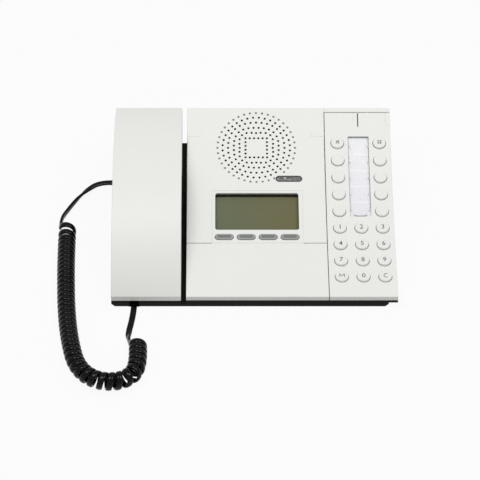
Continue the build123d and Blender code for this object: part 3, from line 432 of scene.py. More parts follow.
def ruled_paper():
    """Pale paper, ruled into cells."""
    finish = Finish("label_paper")
    parts = finish.add("ShaderNodeSeparateXYZ", {}, {"Vector": finish.place})
    back = Signal(finish, parts.socket.node.outputs["Y"])
    fibre = finish.noise(0.4, 3.0)
    lines = 0.0
    for along in cell_lines:
        lines = lines + (abs(back - on_panel(0, along).y) < cell_line_half * mm)
    low = on_panel(0, cell_lines[0] - front_cell).y
    high = on_panel(0, cell_lines[-1] + rear_cell).y
    # Painted light: the sheet is lighter towards the rear.
    sheet = finish.blend((back - low) / (high - low), colour(231, 230, 235), colour(242, 242, 243))
    base = finish.blend(lines, sheet, colour(252, 252, 253))
    normal = finish.bump(fibre, 0.01, 0.4)
    return finish.surface({"Base Color": base, "Roughness": 0.7 + 0.1 * fibre, "Normal": normal})


label_paper = ruled_paper()
print("label lines", len(cell_lines))


# %% Finish of the indicator's lens
def mottled_lens():
    """A milky lens that shows the lamp's moulding behind it as pale patches."""
    finish = Finish("milky_lens")
    patches = finish.noise(3.4, 2.0)
    shades = ((0.4, (112, 113, 110)), (0.55, (138, 139, 136)), (0.68, (205, 206, 202)))
    stops = [(position, colour(*shade)[:3]) for position, shade in shades]
    base = finish.add("ShaderNodeValToRGB", {"stops": stops}, {"Fac": patches})
    return finish.surface({"Base Color": base, "Roughness": 0.15 + 0.1 * patches})


milky_lens = mottled_lens()
print("all finishes", len(bpy.data.materials))

# %% [markdown]
# Every new piece goes the same way. Mesh code fills a bmesh, which becomes an object. The object
# gets its finish, the body that it rides on and the CAD pieces that it stands for. Two helpers do
# that, so that the cells below hold little but shapes.

# %% From mesh code to a finished piece
def mesh_object(name, mesh_builder, smooth=True):
    """Turns a finished bmesh into an object in the scene."""
    mesh = bpy.data.meshes.new(name)
    mesh_builder.to_mesh(mesh)
    mesh_builder.free()
    if smooth:
        mesh.shade_smooth()
    piece = bpy.data.objects.new(name, mesh)
    bpy.context.scene.collection.objects.link(piece)
    return piece


def finished(piece, finish, body, slot, *replaced):
    """Gives a piece its finish, its body and the CAD nodes that it stands for. The slot is not used."""
    piece.data.materials.append(finish.material)
    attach(piece, body)
    if replaced:
        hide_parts(*replaced)
    print(piece.name, "has", len(piece.data.polygons), "faces")
    return piece


# %% [markdown]
# The cord is one flat lead, about 6 by 3 mm, wound into a coil for most of its length. It could be
# a curve with a bevel, but a bevel is round, and its twist can't be steered. So the route is laid
# as three smooth curves, the points along them are read back, a helix is wound round the middle
# one, and a flat section is swept along the whole path with its broad side facing out of the coil.
# The points of the three routes are in millimetres, as every size of the cord is.

# %% Cord: routes
lead_base_points = [
    (-139.7, 53.4, 9.0),
    (-151.0, 53.4, 9.0),
    (-163.5, 48.0, 4.2),
    (-173.0, 36.0, 2.95),
    (-181.5, 20.0, 2.95),
    (-187.0, 2.9, 7.4),
    (-187.0, -10.1, 7.4),
]
coil_points = [
    (-179.9, -10.1, 8.75),
    (-179.6, -45.1, 8.75),
    (-178.2, -83.1, 8.75),
    (-176.0, -121.1, 8.75),
    (-171.4, -158.0, 8.75),
    (-163.4, -191.4, 8.75),
    (-144.8, -208.2, 8.75),
    (-121.0, -208.2, 8.75),
    (-106.2, -192.6, 8.75),
    (-108.4, -162.8, 8.75),
]
lead_handset_points = [
    (-113.1, -96.6, 6.6),
    (-113.1, -100.6, 2.6),
    (-113.2, -111.0, 2.6),
    (-114.8, -127.0, 2.6),
    (-117.6, -143.0, 2.95),
    (-117.0, -155.0, 6.6),
    (-115.4, -162.8, 7.4),
]
print("route points", len(lead_base_points) + len(coil_points) + len(lead_handset_points))


# %% Cord: smooth lines through the routes
route_detail = 96
cord_step = 0.7
coil_step = cord_step / 2


def smooth_route(name, points):
    """Points along the NURBS spline of a route, in millimetres."""
    curve = bpy.data.curves.new(name, "CURVE")
    curve.dimensions = "3D"
    curve.resolution_u = route_detail
    spline = curve.splines.new("NURBS")
    spline.points.add(len(points) - 1)
    for spline_point, point in zip(spline.points, points):
        spline_point.co = (*[value * mm for value in point], 1)
    spline.order_u = 3
    spline.use_endpoint_u = True
    holder = bpy.data.objects.new(name, curve)
    bpy.context.scene.collection.objects.link(holder)
    mesh = bpy.data.meshes.new_from_object(holder)
    line = [vertex.co / mm for vertex in mesh.vertices]
    bpy.data.objects.remove(holder)
    bpy.data.curves.remove(curve)
    bpy.data.meshes.remove(mesh)
    return line


def even_steps(line, step):
    """The same line with points at even steps along it."""
    result = [line[0].copy()]
    left = step
    for start, end in zip(line, line[1:]):
        run = (end - start).length
        done = 0.0
        while run - done >= left:
            done += left
            result.append(start.lerp(end, done / run))
            left = step
        left -= run - done
    return result


def line_length(line):
    """How long a line of points is, in its own units."""
    return sum((end - start).length for start, end in zip(line, line[1:]))


lead_base_line = even_steps(smooth_route("lead_base_route", lead_base_points), cord_step)
coil_line = even_steps(smooth_route("coil_route", coil_points), coil_step)
lead_handset_line = even_steps(smooth_route("lead_handset_route", lead_handset_points), cord_step)[::-1]
cord_lines = {"lead": lead_base_line, "coil axis": coil_line, "lead to handset": lead_handset_line}
for name, line in cord_lines.items():
    print(name, "is", round(line_length(line)), "mm")

# %% [markdown]
# The coil is a helix, but a real one is never even. Its turns stand a little closer here and there,
# the first few are pulled apart where the lead comes in, and where the coil bends they fan out
# round the outside. So the distance from turn to turn is worked out at each point of the axis.

# %% Cord: the coil
coil_mean_radius = 7.1
coil_close_pitch = 5.7
coil_gap_share = 0.025
bend_reach = 34
loose_end = 24.0
loose_share = 0.9
wobble_kept = 0.97
wobble_step = 0.02
rng = random.Random(7)


def coil_pitches(axis_line):
    """The distance from turn to turn at each point of the axis, in millimetres."""
    tangents = [(after - before).normalized() for before, after in zip(axis_line, axis_line[1:])]
    pitches = []
    wobble = 0.0
    for i in range(len(tangents)):
        before = tangents[max(0, i - bend_reach)]
        after = tangents[min(len(tangents) - 1, i + bend_reach)]
        bend = before.angle(after, 0.0) / (2 * bend_reach * coil_step)
        wobble = wobble_kept * wobble + rng.uniform(-wobble_step, wobble_step)
        loose = loose_share * max(0.0, 1 - i * coil_step / loose_end)
        apart = 1 + coil_gap_share + loose + wobble
        pitches.append(coil_close_pitch * apart / (1 - coil_mean_radius * bend))
    return tangents, pitches


def wind_coil(axis_line, start_angle, end_angle, substeps=12):
    """A helix round the coil's axis that begins and ends on the sides where the leads come in."""
    tangents, pitches = coil_pitches(axis_line)
    runs = [(after - before).length for before, after in zip(axis_line, axis_line[1:])]
    wound = sum(2 * math.pi * run / pitch for run, pitch in zip(runs, pitches))
    whole = round((wound - (end_angle - start_angle)) / (2 * math.pi))
    ease = (whole * 2 * math.pi + end_angle - start_angle) / wound
    path, outward = [], []
    angle = start_angle
    for i, (tangent, pitch, run) in enumerate(zip(tangents, pitches, runs)):
        side = tangent.cross(Vector((0, 0, 1))).normalized()
        up = side.cross(tangent)
        for sub in range(substeps):
            radial = side * math.cos(angle) + up * math.sin(angle)
            path.append(axis_line[i].lerp(axis_line[i + 1], sub / substeps) + radial * coil_mean_radius)
            outward.append(radial)
            angle += ease * 2 * math.pi * run / substeps / pitch
    return path, outward, (angle - start_angle) / (2 * math.pi)


helix, helix_outward, turns = wind_coil(coil_line, 0.0, math.pi)
print("coil turns", round(turns, 1), "length", round(line_length(helix)), "mm")

# %% [markdown]
# At the base the flat lead's broad side faces up, at the handset's plug it faces up and forwards,
# and in the coil it faces outwards. So each lead turns on its way. Where it joins the coil, each
# point of the path is averaged with its neighbours a few times, which leaves a soft curve there.

# %% Cord: which way the leads face
base_twist = (0.1, 0.55)
handset_twist = (0.7, 1.0)
jack_tilt = math.radians(45)


def lead_outward(line, at_plug, at_coil, plug_first, twist):
    """Which way the flat lead's broad side faces. It turns between two shares of the way from the plug."""
    facing = []
    for i in range(len(line)):
        share = i / (len(line) - 1)
        share = share if plug_first else 1 - share
        share = min(1.0, max(0.0, (share - twist[0]) / (twist[1] - twist[0])))
        share = share * share * (3 - 2 * share)
        facing.append(at_plug.lerp(at_coil, share).normalized())
    return facing


plug_up = Vector((0, 0, 1))
jack_up = Vector((0, -math.sin(jack_tilt), math.sin(jack_tilt)))
path = lead_base_line[:-2] + helix + lead_handset_line[2:]
facing = (
    lead_outward(lead_base_line[:-2], plug_up, helix_outward[0], True, base_twist)
    + helix_outward
    + lead_outward(lead_handset_line[2:], jack_up, helix_outward[-1], False, handset_twist)
)
print("path points before softening", len(path))

# %% Cord: one soft path from plug to plug
join_reach = 7.0
average_reach = 8
soften_rounds = 6
path_step = 0.8
joins = [helix[0], helix[-1]]


def soften_joins(line):
    """Each point near a join moves to the average of its neighbours."""
    softened = list(line)
    for i, point in enumerate(line):
        distance = min((point - join).length for join in joins)
        reach = round(average_reach * max(0.0, 1 - distance / join_reach))
        if 0 < reach <= min(i, len(line) - 1 - i):
            near = line[i - reach : i + reach + 1]
            softened[i] = sum(near, Vector()) / len(near)
    return softened


def thin_out(line, facing, step):
    """Keeps the points that lie a step apart, with the way the cord faces there."""
    kept = [0]
    gone = 0.0
    for i in range(1, len(line)):
        gone += (line[i] - line[i - 1]).length
        if gone >= step or i == len(line) - 1:
            kept.append(i)
            gone = 0.0
    return [line[i] for i in kept], [facing[i] for i in kept]


for _ in range(soften_rounds):
    path = soften_joins(path)
cord_path, cord_facing = thin_out(path, facing, path_step)
cord_length = line_length(cord_path) * mm
print("cord path points", len(cord_path), "length", round(cord_length, 3), "m")

# %% Cord: a flat section and a tube through many of them
flat_width = 5.8
flat_thickness = 3.0
section_count = 14
section_squareness = 0.75


def squarer(value):
    """Bends a sine or cosine, so that the section is a little squarer than an ellipse."""
    return math.copysign(abs(value) ** section_squareness, value)


def flat_section(width=flat_width, thickness=flat_thickness):
    """Points round the flat cord's section, across its width and through its thickness."""
    points = []
    for i in range(section_count):
        angle = 2 * math.pi * i / section_count
        points.append((squarer(math.cos(angle)) * width / 2, squarer(math.sin(angle)) * thickness / 2))
    return points


def closed_tube(name, sections):
    """A tube through rings of points, in millimetres, with both of its ends closed."""
    tube_builder = bmesh.new()
    rings = [[tube_builder.verts.new(point * mm) for point in section] for section in sections]
    for ring, next_ring in zip(rings, rings[1:]):
        for k in range(section_count):
            follow = (k + 1) % section_count
            tube_builder.faces.new((ring[k], ring[follow], next_ring[follow], next_ring[k]))
    tube_builder.faces.new(rings[0][::-1])
    tube_builder.faces.new(rings[-1])
    bmesh.ops.recalc_face_normals(tube_builder, faces=tube_builder.faces)
    return mesh_object(name, tube_builder)


print("points round the section", len(flat_section()))

# %% [markdown]
# The plug at the base is a block in its socket. Outside the tray it tapers down to the cord, which
# keeps the cord from being bent sharply there. The same tube does for it, with its own sections.

# %% Plug at the base
plug_centre = Vector(lead_base_points[0])
boot_sections = [
    (-126.0, 6.8, 6.0),
    (-126.4, 7.4, 6.4),
    (-133.4, 7.4, 6.4),
    (-133.9, 7.0, 5.8),
    (-134.3, 6.0, 4.4),
    (-135.2, 5.9, 4.0),
    (-137.5, 5.8, 3.6),
    (-140.6, 5.7, 3.2),
    (-141.0, 5.5, 3.0),
]
boot_rings = [
    [Vector((x, plug_centre.y + a, plug_centre.z + t)) for a, t in flat_section(width, thickness)]
    for x, width, thickness in boot_sections
]
base_boot = finished(closed_tube("base_boot", boot_rings), cord_jacket, "base", "cord_black", "base_plug")


# %% Cord: swept along its path
def cord_rings(line, facing):
    """The flat section at each point of the line, with its broad side to the way it faces there."""
    rings = []
    for i, (point, face_way) in enumerate(zip(line, facing)):
        tangent = (line[min(i + 1, len(line) - 1)] - line[max(i - 1, 0)]).normalized()
        through = (face_way - tangent * face_way.dot(tangent)).normalized()
        across = tangent.cross(through)
        rings.append([point + across * a + through * t for a, t in flat_section()])
    return rings


curly_cord = closed_tube("curly_cord", cord_rings(cord_path, cord_facing))
curly_cord.data.materials.append(cord_jacket.material)
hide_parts("lead_base", "cord_coil", "lead_handset")
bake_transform(curly_cord)
tuple(cord_path[0] * mm)
[tuple(point * mm) for point in cord_path]
print("cord mesh vertices", len(curly_cord.data.vertices))

# %% [markdown]
# The tray, the cradle, the handset's lower shell, the display and all hidden pieces stay as their
# CAD meshes. A CAD mesh has knife edges and long thin faces. Welding joins the faces and dissolving
# merges flat ones, so that a bevel can round every sharp edge a little. The large faces then set
# the shading, which keeps the rounding crisp.

# %% Dress the CAD pieces
edge_round = 0.35 * mm
sharp_edge = math.radians(18)
weld_reach = 0.002 * mm
flat_enough = math.radians(0.5)


def dress(finish, *names):
    """Gives CAD pieces their finish, slightly rounded edges and smooth shading over their curves."""
    for name in names:
        piece = nodes[name]
        piece.data.materials.clear()
        piece.data.materials.append(finish.material)
        piece.data.shade_smooth()
        weld = piece.modifiers.new("weld", "WELD")
        weld.merge_threshold = weld_reach
        flats = piece.modifiers.new("flats", "DECIMATE")
        flats.decimate_type = "DISSOLVE"
        flats.angle_limit = flat_enough
        bevel = piece.modifiers.new("edges", "BEVEL")
        bevel.limit_method = "ANGLE"
        bevel.angle_limit = sharp_edge
        bevel.width = edge_round
        bevel.segments = 2
        shading = piece.modifiers.new("shading", "WEIGHTED_NORMAL")
        shading.keep_sharp = True


dress(handset_white, "handset_lower_shell")
dress(tray_black, "base_tray", "cradle", "chassis", "network_sockets")
dress(cap_black, "hook_plunger", "display_gasket", "earpiece_cap", "mouthpiece_cap", "handset_socket")
dress(cap_black, "cord_socket", "microphone")
dress(cord_jacket, "handset_plug")
dress(olive_display, "display_module")
dress(display_window, "display_lens")
dress(rubber_black, "feet", "key_mat")
dress(board_green, "main_board", "keypad_circuit")
dress(speaker_dark, "loudspeaker", "receiver")
print("dressed", sum(1 for piece in nodes.values() if piece.modifiers), "of", len(nodes))

# %% [markdown]
# The handset's upper shell is the largest surface of all: one long arch with crisp edges and a low
# front wall. A bevel modifier smears the shading of the CAD mesh there. So the shell is laid
# again, section by section, inside and outside, with a rim between them at the seam. Only its
# outer edges are rounded then, and every sharp edge that is left stays sharp in the shading.

# %% Handset: the curves of its arch
shell_low, shell_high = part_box("handset_top_shell")
arch_places = ((-0.1071, 0.0140), (0.0354, 0.0735), (0.1071, 0.06022))
seam_places = ((-0.1081, 0.0077), (0.0354, 0.0645), (0.1081, 0.05322))


def circle_through(first, second, third):
    """Middle and radius of the circle through three points, each given as y and z."""
    (a, b), (c, d), (e, f) = first, second, third
    turn = 2 * (a * (d - f) + c * (f - b) + e * (b - d))
    squares = [y * y + z * z for y, z in (first, second, third)]
    middle_y = (squares[0] * (d - f) + squares[1] * (f - b) + squares[2] * (b - d)) / turn
    middle_z = (squares[0] * (e - c) + squares[1] * (a - e) + squares[2] * (c - a)) / turn
    return middle_y, middle_z, math.hypot(a - middle_y, b - middle_z)


def height_on(circle, y, inset=0.0):
    """Height of the arch at a place along the handset."""
    middle_y, middle_z, radius = circle
    return middle_z + math.sqrt((radius - inset) ** 2 - (y - middle_y) ** 2)


arch = circle_through(*arch_places)
seam_curve = circle_through(*seam_places)
print("arch radius", round(arch[2] / mm), "seam radius", round(seam_curve[2] / mm), "mm")

# %% Handset: outer and inner skin
shell_wall = 2.2 * mm
shell_sections = 56


def shell_skin(builder, inset):
    """The arch's top, sides and ends at a distance inside the shell, as rows of four points."""
    rows = []
    left, right = shell_low.x + inset, shell_high.x - inset
    for i in range(shell_sections + 1):
        y = shell_low.y + inset + (shell_high.y - shell_low.y - 2 * inset) * i / shell_sections
        top = height_on(arch, y, inset)
        low = max(height_on(seam_curve, y), shell_low.z)
        corners = ((left, low), (left, top), (right, top), (right, low))
        rows.append([builder.verts.new((x, y, z)) for x, z in corners])
    for row, following in zip(rows, rows[1:]):
        for k in range(3):
            builder.faces.new((row[k], row[k + 1], following[k + 1], following[k]))
    builder.faces.new(rows[0])
    builder.faces.new(rows[-1])
    return rows


shell_builder = bmesh.new()
outer_rows = shell_skin(shell_builder, 0.0)
outer_count = len(shell_builder.faces)
inner_rows = shell_skin(shell_builder, shell_wall)
for side in (0, 3):
    for i in range(shell_sections):
        outside = (outer_rows[i][side], outer_rows[i + 1][side])
        shell_builder.faces.new((*outside, inner_rows[i + 1][side], inner_rows[i][side]))
for i in (0, -1):
    shell_builder.faces.new((outer_rows[i][0], outer_rows[i][3], inner_rows[i][3], inner_rows[i][0]))
shell_builder.faces.ensure_lookup_table()
for face in shell_builder.faces[outer_count:]:
    face.material_index = 1
bmesh.ops.recalc_face_normals(shell_builder, faces=shell_builder.faces)
print("shell faces before rounding", len(shell_builder.faces))

# %% Handset: rounded edges
# Until its edges are rounded, the shell's inside is told from its outside by a material number.
shell_edge = 0.6 * mm
shell_corner = 1.6 * mm
sharp_left = math.radians(35)


def round_edges(builder, edges, width, segments):
    """Rounds some edges of a mesh by a width, in metres."""
    bmesh.ops.bevel(
        builder,
        geom=edges,
        offset=width,
        offset_type="OFFSET",
        segments=segments,
        profile=0.5,
        affect="EDGES",
    )


rear_row = outer_rows[-1]
rear_corners = ((rear_row[0], rear_row[1]), (rear_row[2], rear_row[3]))
rear_edges = [shell_builder.edges.get(corner) for corner in rear_corners]
round_edges(shell_builder, rear_edges, shell_corner, 4)
outer_edges = [
    edge
    for edge in shell_builder.edges
    if all(face.material_index == 0 for face in edge.link_faces) and edge.calc_face_angle(0.0) > sharp_left
]
round_edges(shell_builder, outer_edges, shell_edge, 3)
for edge in shell_builder.edges:
    edge.smooth = edge.calc_face_angle(0.0) < sharp_left
for face in shell_builder.faces:
    face.smooth = True
    face.material_index = 0
handset_arch = mesh_object("handset_arch", shell_builder, smooth=False)
handset_arch.modifiers.new("shading", "WEIGHTED_NORMAL").keep_sharp = True
finished(handset_arch, handset_white, "handset", "white_cover", "handset_top_shell")

# %% [markdown]
# The cord leaves through a notch in the tray's front wall, and below the cord lies a thin black
# plate there. It is painted shade: the table under the phone is in shade, and without the plate it
# would show pale beside the cord. It is one flat plate with its edges just broken.

# %% Painted shade in the notch
notch_low = Vector((-118.2, -106.9, 0.15)) * mm
notch_high = Vector((-108.0, -88.0, 0.75)) * mm
notch_edge = 0.15 * mm
notch_builder = bmesh.new()
bmesh.ops.create_cube(notch_builder, size=1.0)
for vertex in notch_builder.verts:
    for axis in range(3):
        middle, side = (notch_low[axis] + notch_high[axis]) / 2, notch_high[axis] - notch_low[axis]
        vertex.co[axis] = middle + vertex.co[axis] * side
round_edges(notch_builder, notch_builder.edges[:], notch_edge, 2)
notch_shade_plate = mesh_object("tray_notch_shade", notch_builder, smooth=False)
finished(notch_shade_plate, tray_black, "base", "black_housing")

# %% [markdown]
# The covers are thin mouldings with rounded rims and many holes. A bevel modifier can round edges
# and a boolean can cut holes, but on a curved panel both leave ragged shading. So each cover is
# drawn flat: outlines whose rims are rounded ring by ring, filled between, cut into narrow bands
# and then bent onto the panel's curve. Every point carries the way its surface faces, which is
# bent with it, so a big face shades as one smooth sheet and its rims still look round.

# %% Outlines that can grow
least_radius = 0.01
same_point = 1e-4


def outline(form, grow):
    """Points round a shape that is moved out all round, and the way the outline faces at each."""
    points, normals = [], []
    corners = form["corners"]
    for i, here in enumerate(corners):
        run_in = (here - corners[i - 1]).normalized()
        run_out = (corners[(i + 1) % len(corners)] - here).normalized()
        face_in = Vector((run_in.y, -run_in.x))
        face_out = Vector((run_out.y, -run_out.x))
        bulge = 1 if run_in.cross(run_out) > 0 else -1
        radius = max(form["radius"] + bulge * grow, least_radius)
        centre = here + (grow - bulge * radius) * (face_in + face_out) / (1 + face_in.dot(face_out))
        start = math.atan2(face_in.y, face_in.x)
        turn = (math.atan2(face_out.y, face_out.x) - start + math.pi) % (2 * math.pi) - math.pi
        for step in range(form["steps"] + 1):
            angle = start + turn * step / form["steps"]
            normal = Vector((math.cos(angle), math.sin(angle)))
            point = centre + bulge * radius * normal
            if not points or (point - points[-1]).length > same_point:
                points.append(point)
                normals.append(normal)
    if (points[0] - points[-1]).length < same_point:
        points.pop()
        normals.pop()
    return points, normals


# %% Shapes on the panel
def closed_shape(corners, radius=0.3, steps=2):
    """A shape from its corners, anticlockwise, in millimetres across and up the panel."""
    return {"corners": [Vector(corner) for corner in corners], "radius": radius, "steps": steps}


def box_shape(left, right, low, high, radius=0.3, steps=2):
    """A box from its four sides."""
    return closed_shape([(left, low), (right, low), (right, high), (left, high)], radius, steps)


def middle_box(x, along, length, width, radius=0.3, steps=2):
    """A box from its middle, its length across the panel and its width up it."""
    half_length, half_width = length / 2, width / 2
    left, right = x - half_length, x + half_length
    return box_shape(left, right, along - half_width, along + half_width, radius, steps)


def slot_shape(x, along, length, width, steps=6):
    """A slot with round ends. With equal sides it is a circle."""
    return middle_box(x, along, length, width, width / 2, steps)


def line_shape(places, width):
    """A narrow shape that follows a line."""
    places = [Vector(place) for place in places]
    right_side, left_side = [], []
    for i, place in enumerate(places):
        run_in = (place - places[max(i - 1, 0)]) if i else (places[1] - place)
        run_out = (places[i + 1] - place) if i < len(places) - 1 else run_in
        face_in = Vector((run_in.y, -run_in.x)).normalized()
        face_out = Vector((run_out.y, -run_out.x)).normalized()
        reach = (face_in + face_out) / (1 + face_in.dot(face_out)) * width / 2
        right_side.append(place + reach)
        left_side.append(place - reach)
    return closed_shape(right_side + left_side[::-1], 0.05, 1)


print("a slot has", len(outline(slot_shape(0, 0, 20, 8), 0)[0]), "points")

# %% A moulding that is drawn flat and bent onto the panel
rim_steps = 4
band_step = 9.0
cut_reach = 1e-5
under_limit = -0.9
skirt_wall = 2.0
crisp_edge = 0.02


class Moulding:
    """A piece drawn flat in millimetres: across, up the panel and above its surface."""

    def __init__(self):
        self.builder = bmesh.new()
        self.facing = self.builder.verts.layers.float_vector.new("facing")

    def ring(self, form, grow, height, tilt, side):
        """A ring of points. Tilt turns the way they face from straight up to straight out."""
        ring = []
        for point, normal in zip(*outline(form, grow)):
            vertex = self.builder.verts.new((point.x, point.y, height))
            out = normal * side * math.sin(tilt)
            vertex[self.facing] = Vector((out.x, out.y, math.cos(tilt)))
            ring.append(vertex)
        return ring

    def wall(self, rings):
        """Faces between rings that follow each other."""
        for ring, below in zip(rings, rings[1:]):
            for i in range(len(ring)):
                follow = (i + 1) % len(ring)
                self.builder.faces.new((ring[i], ring[follow], below[follow], below[i]))

    def rim(self, form, side, rounding, top, bottom, extra=()):
        """The wall round a plate, side 1, or in a hole, side -1, with a rounded upper rim."""
        rings = []
        for step in range(rim_steps + 1):
            tilt = math.pi / 2 * step / rim_steps
            inset = rounding * (1 - math.sin(tilt))
            rings.append(self.ring(form, -side * inset, top - rounding * (1 - math.cos(tilt)), tilt, side))
        for grow, height, way in ((0, bottom, side), *extra):
            rings.append(self.ring(form, grow, height, math.pi / 2, way))
        self.wall(rings)
        return rings

    def fill(self, rings):
        """A flat face between an outer ring and the rings of its holes."""
        edges = []
        for ring in rings:
            edges += [self.builder.edges.get((ring[i - 1], ring[i])) for i in range(len(ring))]
        bmesh.ops.triangle_fill(self.builder, edges=edges, use_beauty=True, use_dissolve=False)

    def plate(self, form, holes=(), top=0.0, wall=2.5, rounding=0.5, hole_rounding=0.3, skirt=0.0):
        """A plate with holes. A skirt hangs down all round below it."""
        bottom = top - (skirt or wall)
        extra = ((-skirt_wall, bottom, -1), (-skirt_wall, top - wall, -1)) if skirt else ()
        outer = self.rim(form, 1, rounding, top, bottom, extra)
        inner = [self.rim(hole, -1, hole_rounding, top, top - wall) for hole in holes]
        self.fill([outer[0]] + [rings[0] for rings in inner])
        self.fill([outer[-1]] + [rings[-1] for rings in inner])

    def sheet(self, form, top, wall=0.3):
        """A thin plate with crisp edges."""
        self.plate(form, top=top, wall=wall, rounding=crisp_edge)

    def bend(self, name, bands=True):
        """Cuts the piece into bands, bends it onto the panel and makes it an object."""
        builder = self.builder
        bmesh.ops.recalc_face_normals(builder, faces=builder.faces)
        alongs = [vertex.co.y for vertex in builder.verts]
        low, high = min(alongs), max(alongs)
        count = int((high - low) / band_step) if bands else 0
        for i in range(1, count + 1):
            cut = (0, low + (high - low) * i / (count + 1), 0)
            whole = builder.verts[:] + builder.edges[:] + builder.faces[:]
            bmesh.ops.bisect_plane(builder, geom=whole, dist=cut_reach, plane_co=cut, plane_no=(0, 1, 0))
        builder.normal_update()
        loop_normals = []
        for face in builder.faces:
            under = face.normal.z < under_limit
            for vertex in face.verts:
                flat = Vector((0, 0, -1)) if under else vertex[self.facing].normalized()
                loop_normals.append(panel_turn(vertex.co.y) @ flat)
        for vertex in builder.verts:
            place = on_panel(*vertex.co)
            place.y = min(max(place.y, front_edge), panel_rear)
            vertex.co = place
        piece = mesh_object(name, builder)
        piece.data.normals_split_custom_set(loop_normals)
        return piece


print("a moulding's rim is rounded in", rim_steps, "steps and bent every", band_step, "mm")

# %% Sizes across and up the panels
panel_along = 214.45
seam_along = 63.5
strip_along = 209.5
seam = 0.6
cover_depth = 5.3
panel_rear = on_panel(0, panel_along).y
centre_left, centre_right = (corner.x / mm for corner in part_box("centre_cover"))
keypad_left, keypad_right = (corner.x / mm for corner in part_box("keypad_cover"))
frame_left, frame_right = (corner.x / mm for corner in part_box("display_frame"))
frame_gap = 0.3
frame_top = 123.1
print("centre cover from", round(centre_left, 1), "to", round(centre_right, 1))
print("keypad cover from", round(keypad_left, 1), "to", round(keypad_right, 1))

# %% Lower cover
lower = Moulding()
lower.plate(box_shape(centre_left, centre_right, 0, seam_along - seam / 2), skirt=cover_depth)
finished(lower.bend("lower_panel"), cover_white, "base", "white_cover", "lower_cover")

# %% [markdown]
# The grille is the centre cover's finest feature: small round holes on a square in the middle and
# on five rings round it. The inner rings are nearly square too, and each next one is rounder, so
# a ring's radius is given along its sides and at its corners and blended between them.

# %% Loudspeaker grille
grille_x = 3.4
grille_along = 170.9
grille_hole = 2.2
square_half_side = 10.5
square_holes_per_side = 6
grille_rings = [(24, 16.2, 19.6), (28, 21.9, 24.1), (32, 27.6, 29.1), (36, 33.0, 33.0), (40, 37.9, 37.9)]
turned_rings = (1, 3)
indicator_x = 34.8
indicator_along = 136.6
indicator_length = 26.0
indicator_width = 6.8


def beside_indicator(across, up):
    """Whether a hole, seen from the grille's middle, would run into the indicator's slot."""
    near = abs(grille_x + across - indicator_x) < indicator_length / 2
    return near and grille_along + up < indicator_along + indicator_width


def grille_places():
    """Middle of every grille hole, across and up the panel."""
    places = []
    step = 2 * square_half_side / (square_holes_per_side - 1)
    for i in range(square_holes_per_side):
        across = -square_half_side + i * step
        places += [(across, square_half_side), (across, -square_half_side)]
        if 0 < i < square_holes_per_side - 1:
            places += [(square_half_side, across), (-square_half_side, across)]
    for ring, (count, straight_radius, corner_radius) in enumerate(grille_rings):
        offset_turn = 0.5 if ring in turned_rings else 0.0
        for i in range(count):
            angle = 2 * math.pi * (i + offset_turn) / count
            toward_corner = math.sin(2 * angle) ** 2
            radius = straight_radius + (corner_radius - straight_radius) * toward_corner
            across, up = radius * math.cos(angle), radius * math.sin(angle)
            if not beside_indicator(across, up):
                places.append((across, up))
    return [(grille_x + across, grille_along + up) for across, up in places]


def in_outer_ring(place):
    """Whether a hole is one of the outermost ring."""
    return math.hypot(place[0] - grille_x, place[1] - grille_along) > grille_rings[-1][1] - 1


print("grille holes", len(grille_places()))

# %% [markdown]
# The centre cover runs round the display's frame, which sits in a notch of its front edge. Besides
# the grille it has a slot for the indicator and a fine groove at each side. Cutting a groove into
# a finished cover would break its smooth shading. So a groove is a narrow hole in the cover with a
# thin floor just below it, which gives the same dark line.

# %% Fine grooves in a cover
groove_width = 0.5
groove_depth = 0.35
floor_room = 0.4


def groove(moulding, places):
    """Lays a groove's floor below a cover, and returns the shape of its hole."""
    xs = [place[0] for place in places]
    alongs = [place[1] for place in places]
    room = groove_width / 2 + floor_room
    floor_shape = box_shape(min(xs) - room, max(xs) + room, min(alongs) - room, max(alongs) + room)
    moulding.sheet(floor_shape, -groove_depth)
    return line_shape(places, groove_width)


print("grooves", groove_width, "mm wide and", groove_depth, "mm deep")

# %% Centre cover
cover_front = seam_along + seam / 2
groove_along = 183.25
groove_tail = 4.7
edge_room = 0.6
left_groove = (centre_left + edge_room, centre_left + 13.8)
right_groove = (centre_right - edge_room, centre_right - 12.6)

centre = Moulding()
centre_outline = closed_shape(
    [
        (centre_left, cover_front),
        (frame_left - frame_gap, cover_front),
        (frame_left - frame_gap, frame_top + frame_gap),
        (frame_right + frame_gap, frame_top + frame_gap),
        (frame_right + frame_gap, cover_front),
        (centre_right, cover_front),
        (centre_right, panel_along),
        (centre_left, panel_along),
    ]
)
centre_holes = [slot_shape(x, along, grille_hole, grille_hole, 3) for x, along in grille_places()]
centre_holes.append(slot_shape(indicator_x, indicator_along, indicator_length, indicator_width))
for edge_x, tail_x in (left_groove, right_groove):
    line = [(edge_x, groove_along), (tail_x, groove_along), (tail_x, groove_along + groove_tail)]
    centre_holes.append(groove(centre, line))
centre.plate(centre_outline, centre_holes, skirt=cover_depth)
finished(centre.bend("centre_panel"), cover_white, "base", "white_cover", "centre_cover")

# %% [markdown]
# Black felt keeps dust out of the loudspeaker, and the outer ring of holes shows its grey border.
# Through a hole this small only a spot of it is seen. So there is no sheet of felt that follows
# the whole cover, but a small disc behind each hole, black or grey.

# %% Felt behind the grille
felt_depth = 0.45
felt_disc = 2.6
felts = (("grille_felt", felt_black, False), ("grille_felt_border", felt_grey, True))
for name, finish, is_border in felts:
    felt = Moulding()
    for place in grille_places():
        if in_outer_ring(place) == is_border:
            felt.sheet(slot_shape(*place, felt_disc, felt_disc, 3), -felt_depth)
    finished(felt.bend(name, bands=False), finish, "base", "soft_rubber")

# %% [markdown]
# The keypad cover has a round hole for each key. The places are read from the keys' joints, so a
# hole can't miss its key. The label lies in a recess, which is a hole with a floor like that of the
# grooves. At the rear there are a narrow slot and two more grooves, one of them with a bent end.

